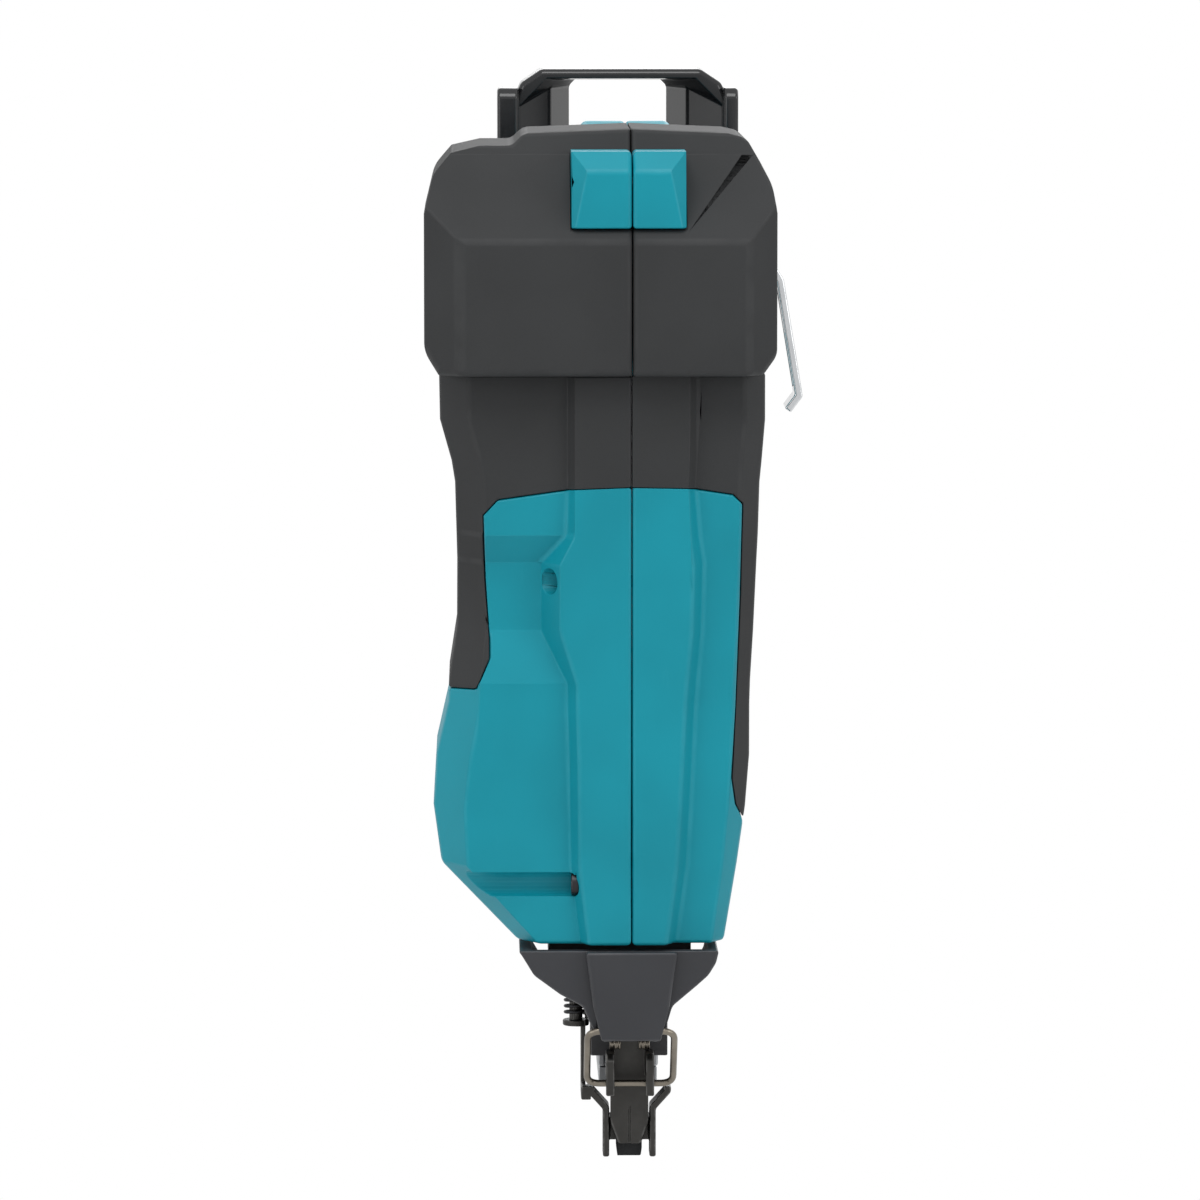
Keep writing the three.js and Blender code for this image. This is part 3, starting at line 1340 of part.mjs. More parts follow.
// Control button and work lamp on the front of the foot
for (const [name, { radius, front, back, place }, finish] of [
  ['power_button', powerButton, buttonGrey],
  ['work_lamp', workLamp, clearLens],
]) {
  add(name, rod('y', radius, [front, back], place, 20), finish);
}

// Battery: a case that slides up the rails, its cells and its release button
const caseWall = 2.6;
const caseFront = footBack + rail.plate + fit;
const caseEdge = 6;
const release = { half: 10, low: batteryTop - 29, high: batteryTop - 17, depth: 5, proud: 1.4 };
function makeBatteryCase() {
  const outline = (by) => symmetric([
    [batteryHalf - caseEdge - by, batteryBottom + by],
    [batteryHalf - by, batteryBottom + caseEdge + by],
    [batteryHalf - by, batteryTop - caseEdge - by],
    [batteryHalf - caseEdge - by, batteryTop - by],
  ]);
  const body = loft('y', [
    { at: caseFront, points: outline(0) },
    { at: batteryBack - caseEdge, points: outline(0) },
    { at: batteryBack, points: outline(caseEdge / 2) },
  ]);
  const inside = block(
    [caseWall - batteryHalf, batteryHalf - caseWall],
    [footBack + rail.depth + 2 * fit + caseWall, batteryBack - caseEdge],
    [batteryBottom + caseEdge, batteryTop - caseEdge],
  );
  const channelHalf = (rail.inner + terminal.half) / 2;
  const channelHeight = [terminal.low - fit, batteryTop + overrun];
  const channel = block([-channelHalf, channelHalf], [footBack - overrun, terminal.back + fit], channelHeight);
  const groove = prism('z', railPlan(2 * fit), [rail.low - fit, batteryTop + overrun]);
  const buttonHole = block(
    [-release.half - fit, release.half + fit],
    [batteryBack - caseEdge - overrun, batteryBack + overrun],
    [release.low - fit, release.high + fit],
  );
  const cuts = [inside, channel, groove, groove.mirror([1, 0, 0]), buttonHole];
  return cuts.reduce((made, cut) => made.subtract(cut), body);
}
const cell = { radius: 9.3, half: 32.5, rows: 5, columns: 2, plate: 1.2, overlap: 0.3 };
function makeCells() {
  const pitch = 2 * cell.radius - cell.overlap;
  const firstY = footBack + rail.depth + 3 * fit + caseWall + cell.radius;
  const firstZ = batteryBottom + caseEdge + fit + cell.radius;
  let made = null;
  for (let row = 0; row < cell.rows; row += 1) {
    for (let column = 0; column < cell.columns; column += 1) {
      const place = [firstY + column * pitch, firstZ + row * pitch];
      const next = rod('x', cell.radius, [-cell.half, cell.half], place, 12);
      made = made ? made.add(next) : next;
    }
  }
  return made;
}
add('battery_case', makeBatteryCase(), satinBlack);
add('battery_cells', makeCells(), teal);
add('battery_button', block(
  [-release.half, release.half],
  [batteryBack - release.depth, batteryBack + release.proud],
  [release.low, release.high],
), buttonGrey);

// The origin lies on the tip's contact face, behind the driver's way through it
const contactPoint = 4;
nailer.position.y = -contactPoint;

export default nailer;
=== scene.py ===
"""Cordless brad nailer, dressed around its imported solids, nose down on a pale floor."""
import json
import math

import bmesh
import bpy
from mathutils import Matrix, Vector
from mathutils.bvhtree import BVHTree
from mathutils.kdtree import KDTree


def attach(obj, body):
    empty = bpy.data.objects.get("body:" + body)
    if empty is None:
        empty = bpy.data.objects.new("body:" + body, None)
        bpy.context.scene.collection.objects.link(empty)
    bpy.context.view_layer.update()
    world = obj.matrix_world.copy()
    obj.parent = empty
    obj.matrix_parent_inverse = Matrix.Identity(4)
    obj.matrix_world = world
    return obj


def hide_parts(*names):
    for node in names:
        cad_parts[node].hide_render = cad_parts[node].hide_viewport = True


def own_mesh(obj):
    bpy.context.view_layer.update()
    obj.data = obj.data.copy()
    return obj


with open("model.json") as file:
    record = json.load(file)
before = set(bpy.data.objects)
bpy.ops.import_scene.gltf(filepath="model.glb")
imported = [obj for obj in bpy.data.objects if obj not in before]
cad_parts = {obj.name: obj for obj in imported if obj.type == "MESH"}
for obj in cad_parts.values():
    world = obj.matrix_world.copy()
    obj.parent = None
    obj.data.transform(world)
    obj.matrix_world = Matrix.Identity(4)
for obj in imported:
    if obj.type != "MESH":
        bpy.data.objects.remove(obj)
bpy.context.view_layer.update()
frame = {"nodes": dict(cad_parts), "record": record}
NODES = frame["nodes"]
MM = 0.001

# Camera: a long lens a little above the tool, looking back along it from the front,
# aimed at a point left of the driver line, as the photograph frames the tool.
CAMERA_PLACE = Vector((-44.0, -2032.7, 379.1)) * MM
CAMERA_AIM = Vector((-9.3, -44.0, 170.0)) * MM
camera_data = bpy.data.cameras.new("camera")
camera_data.lens = 207.45
camera_data.sensor_width = 36
camera_data.clip_start = 0.01
camera_data.clip_end = 50
camera = bpy.data.objects.new("camera", camera_data)
camera.location = CAMERA_PLACE
camera.rotation_mode = "QUATERNION"
camera.rotation_quaternion = (CAMERA_AIM - CAMERA_PLACE).to_track_quat("-Z", "Y")
bpy.context.scene.collection.objects.link(camera)
bpy.context.scene.camera = camera
bpy.context.scene.view_settings.view_transform = "Standard"


class Tone:
    """A number that varies over a surface: the operators add its Math nodes."""

    def __init__(self, finish, socket):
        self.finish = finish
        self.socket = socket

    def math(self, operation, *terms):
        return self.finish.node("ShaderNodeMath", {"operation": operation}, dict(enumerate(terms)))

    def __add__(self, other):
        return self.math("ADD", self, other)

    def __radd__(self, other):
        return self.math("ADD", other, self)

    def __sub__(self, other):
        return self.math("SUBTRACT", self, other)

    def __rsub__(self, other):
        return self.math("SUBTRACT", other, self)

    def __mul__(self, other):
        return self.math("MULTIPLY", self, other)

    def __rmul__(self, other):
        return self.math("MULTIPLY", other, self)

    def between(self, low, high):
        """0 below low and 1 above high, with a soft slope from one to the other."""
        settings = {"interpolation_type": "SMOOTHSTEP"}
        limits = {"Value": self, "From Min": low, "From Max": high}
        return self.finish.node("ShaderNodeMapRange", settings, limits)

    def shade(self, dark, light):
        """A colour from dark at 0 to light at 1."""
        places = {0: self, 6: dark, 7: light}
        return self.finish.node("ShaderNodeMix", {"data_type": "RGBA"}, places, 2)


class Finish:
    """A node material in the making."""

    def __init__(self, name, tree=None):
        self.material = None
        if tree is None:
            self.material = bpy.data.materials.new(name)
            self.material.use_nodes = True
            tree = self.material.node_tree
        self.tree = tree
        self.tree.nodes.clear()

    def node(self, kind, settings, inputs, output=0):
        made = self.tree.nodes.new(kind)
        for key, value in settings.items():
            setattr(made, key, value)
        for key, value in inputs.items():
            if isinstance(value, Tone):
                self.tree.links.new(value.socket, made.inputs[key])
            else:
                made.inputs[key].default_value = value
        return Tone(self, made.outputs[output]) if len(made.outputs) else None

    def place(self, stretch=(1, 1, 1)):
        """Coordinates that ride with the piece, in metres, stretched along each axis."""
        at = self.node("ShaderNodeTexCoord", {}, {}, "Object")
        if stretch == (1, 1, 1):
            return at
        return self.node("ShaderNodeVectorMath", {"operation": "MULTIPLY"}, {0: at, 1: stretch})

    def noise(self, size, detail=3.0, stretch=(1, 1, 1), rough=0.5):
        """Noise with spots of about that size in millimetres."""
        inputs = {"Vector": self.place(stretch), "Scale": 1 / (size * MM)}
        inputs.update({"Detail": detail, "Roughness": rough})
        return self.node("ShaderNodeTexNoise", {}, inputs)

    def cells(self, size, stretch=(1, 1, 1), feature="F1"):
        inputs = {"Vector": self.place(stretch), "Scale": 1 / (size * MM)}
        return self.node("ShaderNodeTexVoronoi", {"feature": feature}, inputs)

    def ridges(self, pitch, axis="Z", warp=0.0):
        """Even ridges across an axis, one to every pitch in millimetres."""
        inputs = {"Vector": self.place(), "Scale": math.pi / (10 * pitch * MM), "Distortion": warp}
        return self.node("ShaderNodeTexWave", {"bands_direction": axis}, inputs, 1)

    def crown(self):
        """1 along the rounded edges of a piece and 0 on its faces."""
        return self.node("ShaderNodeAttribute", {"attribute_name": "edge"}, {}, 2)

    def blend(self, share, first, second):
        return self.node("ShaderNodeMix", {"data_type": "RGBA"}, {0: share, 6: first, 7: second}, 2)

    def surface(self, colour, roughness, height=None, depth=0.02, bump=1.0, **fixed):
        inputs = {"Base Color": colour, "Roughness": roughness}
        for key, value in fixed.items():
            inputs[key.replace("_", " ").title().replace("Ior", "IOR")] = value
        if height is not None:
            relief = {"Height": height, "Distance": depth * MM, "Strength": bump}
            inputs["Normal"] = self.node("ShaderNodeBump", {}, relief)
        shader = self.node("ShaderNodeBsdfPrincipled", {}, inputs)
        self.node("ShaderNodeOutputMaterial", {}, {"Surface": shader})
        return self.material


def colour(red, green, blue):
    """A colour written as it shows on a screen, 0 to 255, as light."""
    parts = (red, green, blue)
    return tuple(((v / 255 + 0.055) / 1.055) ** 2.4 if v > 10 else v / 3295 for v in parts) + (1,)


# Studio: a pale floor under the nose tip, an even white surround and four large soft lamps,
# so that moulded plastic keeps its own colour and bright metal has something to mirror.
surround = bpy.data.worlds.new("surround")
surround.use_nodes = True
bpy.context.scene.world = surround
air = Finish("surround", surround.node_tree)
rays = air.node("ShaderNodeLightPath", {}, {})
node_of_rays = rays.socket.node
seen = Tone(air, node_of_rays.outputs["Is Camera Ray"])
mirrored = Tone(air, node_of_rays.outputs["Is Glossy Ray"])
passed = Tone(air, node_of_rays.outputs["Is Transmission Ray"])
AMBIENT = 0.42
MIRROR_SHARE = 0.85
sight = seen + mirrored * MIRROR_SHARE + passed
shown = sight.math("MINIMUM", sight, 1.0)
brightness = AMBIENT + (1 - AMBIENT) * shown
dome = air.node("ShaderNodeBackground", {}, {"Color": (1, 1, 1, 1), "Strength": brightness})
air.node("ShaderNodeOutputWorld", {}, {"Surface": dome})

FLOOR_HALF = 3.0
floor_mesh = bpy.data.meshes.new("floor")
floor_corners = [(-1, -1), (1, -1), (1, 1), (-1, 1)]
floor_mesh.from_pydata([(x * FLOOR_HALF, y * FLOOR_HALF, 0) for x, y in floor_corners], [], [(0, 1, 2, 3)])
floor = bpy.data.objects.new("floor", floor_mesh)
bpy.context.scene.collection.objects.link(floor)
paper = Finish("studio_paper")
paper_rays = paper.node("ShaderNodeLightPath", {}, {}).socket.node
paper_seen = Tone(paper, paper_rays.outputs["Is Camera Ray"])
paper_mirrored = Tone(paper, paper_rays.outputs["Is Glossy Ray"])
fibre = paper.noise(0.7)
paper_tone = fibre.shade((0.83, 0.83, 0.83, 1), (0.86, 0.86, 0.86, 1))
pale = paper.node("ShaderNodeBsdfDiffuse", {}, {"Color": paper_tone})
glow = paper.node("ShaderNodeEmission", {}, {"Color": (1, 1, 1, 1), "Strength": 1.0})
PAPER_MIRROR_SHARE = 0.8
lit = paper_seen + paper_mirrored * PAPER_MIRROR_SHARE
sheet = paper.node("ShaderNodeMixShader", {}, {0: lit, 1: pale, 2: glow})
paper.node("ShaderNodeOutputMaterial", {}, {"Surface": sheet})
floor_mesh.materials.append(paper.material)

LAMPS = [
    ("lamp_above", (-0.15, -0.9, 1.9), 1.3, 22.0),
    ("lamp_left", (-1.7, -1.1, 0.7), 1.0, 7.0),
    ("lamp_right", (1.7, -1.3, 0.8), 1.0, 9.0),
    ("lamp_behind", (0.3, 1.9, 1.1), 1.3, 14.0),
]
LAMP_AIM = Vector((0, 40, 170)) * MM
for name, where, width, power in LAMPS:
    lamp = bpy.data.lights.new(name, "AREA")
    lamp.shape, lamp.size, lamp.energy = "SQUARE", width, power
    holder = bpy.data.objects.new(name, lamp)
    holder.location = where
    holder.rotation_mode = "QUATERNION"
    holder.rotation_quaternion = (LAMP_AIM - Vector(where)).to_track_quat("-Z", "Y")
    bpy.context.scene.collection.objects.link(holder)


# Housing: two glass-filled nylon halves, injection moulded in teal and screwed together at the
# seam, with a fine spark-eroded surface that the tool steel left, and soft edges all round.
BODY_OF = {node: name for name, nodes in frame["record"]["behaviour"]["bodies"].items() for node in nodes}
WELD = 2e-5
FLAT = math.radians(0.6)
ROUNDING_TRIES = 6
OWN_SHARE = 0.9
SPOKE_SHARE = 0.45
ACROSS_SHARE = 0.45
BESIDE_SHARE = 0.32
STRAY_SHARE = 0.6
EASING = 0.4


def rooms(form, radius):
    """How far each edge can be rounded before the rounding meets a neighbouring edge or corner."""
    room = {edge: min(radius, OWN_SHARE * edge.calc_length()) for edge in form.edges}
    for corner in form.verts:
        spokes = [
            (edge, (edge.other_vert(corner).co - corner.co).normalized())
            for edge in corner.link_edges
        ]
        for edge, outward in spokes:
            for other, way in spokes:
                lean = outward.dot(way)
                if other is not edge:
                    spread = (1 - lean) / math.sqrt(max(1e-9, 1 - lean * lean)) if lean > 0 else 1
                    room[edge] = min(room[edge], SPOKE_SHARE * other.calc_length() * spread)
    for face in form.faces:
        for loop in face.loops:
            corner = loop.vert.co
            beside = (loop.edge, loop.link_loop_prev.edge)
            for edge in face.edges:
                if edge in beside:
                    continue
                start = edge.verts[0].co
                along = edge.verts[1].co - start
                share = min(1, max(0, (corner - start).dot(along) / along.length_squared))
                off = (corner - start - along * share).length
                room[edge] = min(room[edge], ACROSS_SHARE * off)
                for near in beside:
                    room[near] = min(room[near], BESIDE_SHARE * off)
    return room


def bevelled(form, radius, steps, material):
    """The form as a new mesh with its weighted edges rounded; the roundings have material index 1."""
    rough = bpy.data.meshes.new("rough")
    form.to_mesh(rough)
    rough.materials.append(material)
    rough.materials.append(material)
    holder = bpy.data.objects.new("rough", rough)
    bpy.context.scene.collection.objects.link(holder)
    bevel = holder.modifiers.new("rounding", "BEVEL")
    bevel.limit_method = "WEIGHT"
    bevel.offset_type = "OFFSET"
    bevel.width = radius * MM
    bevel.segments = steps
    bevel.material = 1
    bevel.use_clamp_overlap = False
    bevel.loop_slide = True
    made = bpy.data.meshes.new_from_object(holder.evaluated_get(bpy.context.evaluated_depsgraph_get()))
    bpy.data.objects.remove(holder)
    bpy.data.meshes.remove(rough)
    return made


def strays(made, surface, corners, limit):
    """The corners of the sharp form beside each rounded face that has left its surface."""
    made.calc_loop_triangles()
    faults = set()
    for triangle in made.loop_triangles:
        places = [made.vertices[i].co for i in triangle.vertices]
        middle = (places[0] + places[1] + places[2]) / 3
        if surface.find_nearest(middle)[3] > limit:
            faults.update(made.polygons[triangle.polygon_index].vertices)
    return {corners.find(made.vertices[i].co)[1] for i in faults}


def finish_form(form, name, body, material, radius, crease=16, steps=3):
    """Turns a bmesh into a piece whose edges are rounded by up to radius, with an "edge" value
    of 1 along the crown of each rounding, and makes it ride on its body."""
    weights = form.edges.layers.float.new("bevel_weight_edge")
    for edge, reach in rooms(form, radius * MM).items():
        if len(edge.link_faces) == 2 and edge.calc_face_angle(0) > math.radians(crease):
            edge[weights] = reach / (radius * MM)
    form.verts.ensure_lookup_table()
    surface = BVHTree.FromBMesh(form)
    corners = KDTree(len(form.verts))
    for corner in form.verts:
        corners.insert(corner.co, corner.index)
    corners.balance()
    made = bevelled(form, radius, steps, material)
    for _ in range(ROUNDING_TRIES):
        faults = strays(made, surface, corners, STRAY_SHARE * radius * MM)
        if not faults:
            break
        for edge in {edge for i in faults for edge in form.verts[i].link_edges}:
            edge[weights] *= EASING
        bpy.data.meshes.remove(made)
        made = bevelled(form, radius, steps, material)
    form.free()
    made.name = name
    piece = bpy.data.objects.new(name, made)
    bpy.context.scene.collection.objects.link(piece)
    crown = [1.0] * len(made.vertices)
    for face in made.polygons:
        if face.material_index == 0:
            for corner in face.vertices:
                crown[corner] = 0.0
        face.material_index = 0
        face.use_smooth = True
    made.materials.pop(index=1)
    edge_values = made.attributes.new("edge", "FLOAT", "POINT")
    edge_values.data.foreach_set("value", crown)
    even = piece.modifiers.new("even_shading", "WEIGHTED_NORMAL")
    even.mode = "FACE_AREA"
    even.weight = 100
    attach(piece, body)
    return piece


def rounded(node, radius, material, crease=16, steps=3, name=None):
    """The node's own form with its flat faces joined and its edges rounded, shown in its place."""
    form = bmesh.new()
    form.from_mesh(NODES[node].data)
    bmesh.ops.remove_doubles(form, verts=form.verts, dist=WELD)
    bmesh.ops.dissolve_limit(form, angle_limit=FLAT, verts=form.verts, edges=form.edges)
    label = name or node + "_form"
    piece = finish_form(form, label, BODY_OF[node], material, radius, crease, steps)
    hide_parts(node)
    return piece


def moulded(name, base, rough, grain=0.45, depth=0.012, paling=0.12, specular=0.5):
    """Moulded plastic: a spark-eroded grain, a faint drift of tone, and edges made a little paler, partly as
    rubbed wear and partly as a painted highlight.
    """
    plastic = Finish(name)
    drift = plastic.noise(38, 2.0).between(0.3, 0.7)
    grains = plastic.noise(grain, 3.5, rough=0.65)
    scuff = plastic.noise(3.2, 4.0, stretch=(1, 1, 0.12)).between(0.66, 0.74)
    # Paler rounded edges: partly rubbed wear and partly a painted highlight along each edge's crown.
    pale_edges = plastic.crown() * plastic.noise(9.0, 2.0).between(0.2, 0.7)
    darker = tuple(v * 0.93 for v in base[:3]) + (1,)
    lighter = tuple(min(1, v * 1.06 + 0.001) for v in base[:3]) + (1,)
    # The pale edge colour stands for worn plastic and also for a painted highlight.
    worn_and_highlit = tuple(min(1, v * 1.25 + 0.03) for v in base[:3]) + (1,)
    body = drift.shade(darker, lighter)
    tone = plastic.blend(pale_edges * paling + scuff * paling * 0.4, body, worn_and_highlit)
    shine = rough + (grains - 0.5) * 0.16 - pale_edges * 0.1 + scuff * 0.06
    return plastic.surface(tone, shine, grains, depth, 1.0, specular_ior_level=specular)


TEAL = colour(0, 138, 155)
teal_shell = moulded(
    "teal_nylon", TEAL, rough=0.5, grain=0.42, depth=0.016, paling=0.2, specular=0.28,
)
for side in ("right", "left"):
    rounded(f"housing_{side}", 1.3, teal_shell)


# Over-mould and head bumper: soft black elastomer shot over the nylon and, on the head, a thick
# pressed-on cap; finely textured, matt, and a little paler along its edges, partly rubbed wear and partly a
# painted highlight.
elastomer = moulded(
    "soft_elastomer", colour(50, 51, 52), rough=0.72, grain=0.38, depth=0.02, paling=0.12,
    specular=0.25,
)
for side in ("right", "left"):
    rounded(f"head_bumper_{side}", 2.6, elastomer, crease=14, steps=4)
    rounded(f"overmould_{side}", 1.2, elastomer)
    rounded(f"handle_grip_{side}", 0.6, elastomer)


# Housing screws: hardened thread-forming screws in black zinc, driven from the right into bosses
# moulded in the left half; the heads sit in deep counterbores.
def metal(name, base, rough, brush=(1, 1, 1), grain=0.5, depth=0.004, paling=0.5, metallic=1.0, stains=0.2):
    """Metal: machining marks drawn out along one axis, faint stains and brighter rubbed edges."""
    alloy = Finish(name)
    marks = alloy.noise(grain, 3.5, stretch=brush, rough=0.6)
    stain = alloy.noise(7.0, 4.0, rough=0.6).between(0.3, 0.75)
    pale_edges = alloy.crown() * alloy.noise(2.2, 3.0).between(0.35, 0.6)
    darker = tuple(v * (1 - stains) for v in base[:3]) + (1,)
    brighter = tuple(min(1, v * 1.6 + 0.06) for v in base[:3]) + (1,)
    tone = alloy.blend(pale_edges * paling, stain.shade(darker, base), brighter)
    shine = rough + (marks - 0.5) * 0.22 + (1 - stain) * 0.07 - pale_edges * 0.1
    return alloy.surface(tone, shine, marks, depth, 1.0, metallic=metallic)


black_zinc = metal("black_zinc", colour(58, 58, 60), rough=0.36)
for place in ("top", "middle", "bottom", "foot"):
    rounded(f"housing_screw_{place}", 0.35, black_zinc, crease=30)


# Nose cover and latch lever: charcoal glass-filled nylon; the lever lies on the cover's front and
# turns on a steel pin between two cheeks of the nose casting.
charcoal = moulded(
    "charcoal_nylon", colour(50, 51, 55), rough=0.46, grain=0.34, depth=0.012, paling=0.35,
    specular=0.4,
)
ground_steel = metal(
    "ground_steel", colour(168, 168, 166), rough=0.24, brush=(1, 1, 0.05), grain=0.35,
)
rounded("nose_cover", 0.9, charcoal)
rounded("latch_lever", 1.0, charcoal, crease=14, steps=4)
rounded("latch_pin", 0.25, ground_steel, crease=30)


# Latch bail: one length of bronze-toned spring wire, bent round a former so its corners are full
# radii, hung by its two ends in the lever with its bar under the hooks of the nose plate.
DOME = [(0.5, 0.86), (0.85, 0.5)]
DOME_REACH = 0.6


def wire(name, line, radius, sides, node, material):
    """A round wire through a line of points in millimetres, with domed ends, shown in the node's place."""
    form = bmesh.new()
    points = [Vector(point) * MM for point in line]
    across = (points[1] - points[0]).orthogonal().normalized()
    rings = []
    for i, point in enumerate(points):
        along = (points[min(i + 1, len(points) - 1)] - points[max(i - 1, 0)]).normalized()
        across = (across - along * across.dot(along)).normalized()
        other = along.cross(across)
        spokes = [math.tau * k / sides for k in range(sides)]
        thick = radius * MM
        steps = [(0, 1.0)]
        if i == 0:
            steps = [(-off, share) for off, share in reversed(DOME)] + steps
        if i == len(points) - 1:
            steps = steps + DOME
        for off, share in steps:
            middle = point + along * off * thick * DOME_REACH
            ring = [across * math.cos(a) + other * math.sin(a) for a in spokes]
            rings.append([form.verts.new(middle + spoke * thick * share) for spoke in ring])
    for one, two in zip(rings, rings[1:]):
        for k in range(sides):
            form.faces.new((one[k - 1], one[k], two[k], two[k - 1]))
    form.faces.new(rings[0])
    form.faces.new(reversed(rings[-1]))
    bmesh.ops.recalc_face_normals(form, faces=form.faces)
    mesh = bpy.data.meshes.new(name)
    form.to_mesh(mesh)
    form.free()
    for face in mesh.polygons:
        face.use_smooth = True
    mesh.materials.append(material)
    piece = bpy.data.objects.new(name, mesh)
    bpy.context.scene.collection.objects.link(piece)
    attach(piece, BODY_OF[node])
    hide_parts(node)
    return piece


SHIFT = -4.0
BAIL = {"half": 12.7, "grip": 4.6, "radius": 1.0}
BAIL_PLACES = {"top": (-29.6 + SHIFT, 42.0), "bar": (-12.6 + SHIFT, 23.6)}
BAIL_BEND = 4.0
BEND_STEPS = 8


def bent(corners, bend):
    """A line through the corners, each corner replaced by a smooth bend."""
    line = [Vector(corners[0])]
    for before, corner, after in zip(corners, corners[1:], corners[2:]):
        before, corner, after = Vector(before), Vector(corner), Vector(after)
        into = corner + (before - corner).normalized() * bend
        out = corner + (after - corner).normalized() * bend
        for k in range(BEND_STEPS + 1):
            t = k / BEND_STEPS
            line.append(into * (1 - t) ** 2 + corner * 2 * t * (1 - t) + out * t ** 2)
    return line + [Vector(corners[-1])]


bronze_wire = metal("bronze_wire", colour(138, 131, 120), rough=0.3, brush=(0.2, 1, 1), grain=0.4)
bail_corners = [(x, *BAIL_PLACES[where]) for x, where in (
    (BAIL["grip"] - BAIL["half"], "top"),
    (-BAIL["half"], "top"),
    (-BAIL["half"], "bar"),
    (BAIL["half"], "bar"),
    (BAIL["half"], "top"),
    (BAIL["half"] - BAIL["grip"], "top"),
)]
bail_line = bent(bail_corners, BAIL_BEND)
wire("bail_wire", bail_line, BAIL["radius"], sides=20, node="latch_bail", material=bronze_wire)


# Nose: a die-cast body in dark paint with the driver's channel in it, closed at the front by a
# pressed steel plate in black oxide that hangs on a pin between two ribbed bushes.
dark_casting = metal(
    "dark_casting", colour(64, 64, 66), rough=0.5, grain=0.7, depth=0.012, metallic=0.55,
)
black_oxide = metal(
    "black_oxide", colour(66, 65, 63), rough=0.38, brush=(1, 1, 0.3), grain=0.45,
    depth=0.006, paling=0.6, metallic=0.85,
)
rounded("nose_body", 0.4, dark_casting, crease=28, steps=2)
rounded("nose_plate", 0.9, black_oxide, crease=16, steps=3)
for side in ("right", "left"):
    rounded(f"hinge_bush_{side}", 0.12, bronze_wire, crease=38, steps=2)


# Contact foot: a bent steel arm in black oxide that slides on the nose, a soft no-mar tip pressed
# over its end, and an open-wound spring that pushes it back down.
rounded("contact_arm", 0.6, black_oxide, crease=20, steps=3)
rounded("nose_tip", 0.5, elastomer)
SPRING = {"x": -15.7, "y": 5 + SHIFT, "low": 40.2, "high": 51.2, "radius": 3.15}
SPRING.update({"wire": 0.5, "turns": 5, "steps": 28})
lead = 2 * SPRING["wire"]
spring_line = []
for i in range(SPRING["turns"] * SPRING["steps"] + 1):
    angle = math.tau * i / SPRING["steps"]
    share = i / (SPRING["turns"] * SPRING["steps"])
    x = SPRING["x"] + SPRING["radius"] * math.cos(angle)
    y = SPRING["y"] + SPRING["radius"] * math.sin(angle)
    z = SPRING["low"] + lead + (SPRING["high"] - SPRING["low"] - 2 * lead) * share
    spring_line.append((x, y, z))
spring_line.insert(0, (*spring_line[0][:2], SPRING["low"]))
spring_line.append((*spring_line[-1][:2], SPRING["high"]))
coil = wire("spring_wire", spring_line, SPRING["wire"], sides=10, node="contact_spring", material=black_zinc)
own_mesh(coil)


# Driver: a hardened steel blade with lifting teeth, riveted to an aluminium piston with a rubber
# seal, which runs in a drawn aluminium cylinder over a urethane bumper.
drawn_grey, turned_grey = colour(176, 178, 180), colour(182, 183, 184)
drawn_aluminium = metal(
    "drawn_aluminium", drawn_grey, rough=0.3, brush=(1, 1, 0.06), grain=0.4, depth=0.004,
    paling=0.4, stains=0.1,
)
turned_aluminium = metal(
    "turned_aluminium", turned_grey, rough=0.28, brush=(0.1, 0.1, 1), grain=0.3,
    depth=0.004, paling=0.4, stains=0.1,
)
amber_urethane = moulded(
    "amber_urethane", colour(150, 92, 40), rough=0.42, grain=0.8, depth=0.01, paling=0.2,
)
seal_rubber = moulded("seal_rubber", colour(40, 40, 42), rough=0.6, grain=0.5, depth=0.01, paling=0.2)
rounded("driver_blade", 0.25, ground_steel, crease=28, steps=2)
rounded("piston", 0.5, turned_aluminium, crease=30, steps=2)
rounded("piston_seal", 0.3, seal_rubber, crease=30, steps=2)
rounded("cylinder", 0.5, drawn_aluminium, crease=30, steps=2)
rounded("air_chamber", 0.8, drawn_aluminium, crease=30, steps=2)
rounded("drive_bumper", 1.4, amber_urethane, crease=30, steps=3)


# Lifter: a wheel of hardened pins that raises the driver, on a shaft in two ball bearings, turned
# through planetary gears in a cast case.
cast_alloy = metal(
    "cast_alloy", colour(150, 151, 152), rough=0.5, grain=0.9, depth=0.02, metallic=0.9,
)
oiled_gear = metal(
    "oiled_gear", colour(140, 137, 130), rough=0.22, brush=(1, 0.08, 1), grain=0.3,
    depth=0.003, paling=0.6,
)
rounded("lifter_wheel", 0.4, oiled_gear, crease=30, steps=2)
rounded("front_bearing", 0.3, ground_steel, crease=30, steps=2)
rounded("rear_bearing", 0.3, ground_steel, crease=30, steps=2)
rounded("planet_carrier", 0.35, oiled_gear, crease=30, steps=2)
for number in (1, 2, 3):
    rounded(f"planet_gear_{number}", 0.15, oiled_gear, crease=24, steps=1)
rounded("ring_gear", 0.15, oiled_gear, crease=24, steps=1)
rounded("gear_case", 0.8, cast_alloy, crease=28, steps=2)


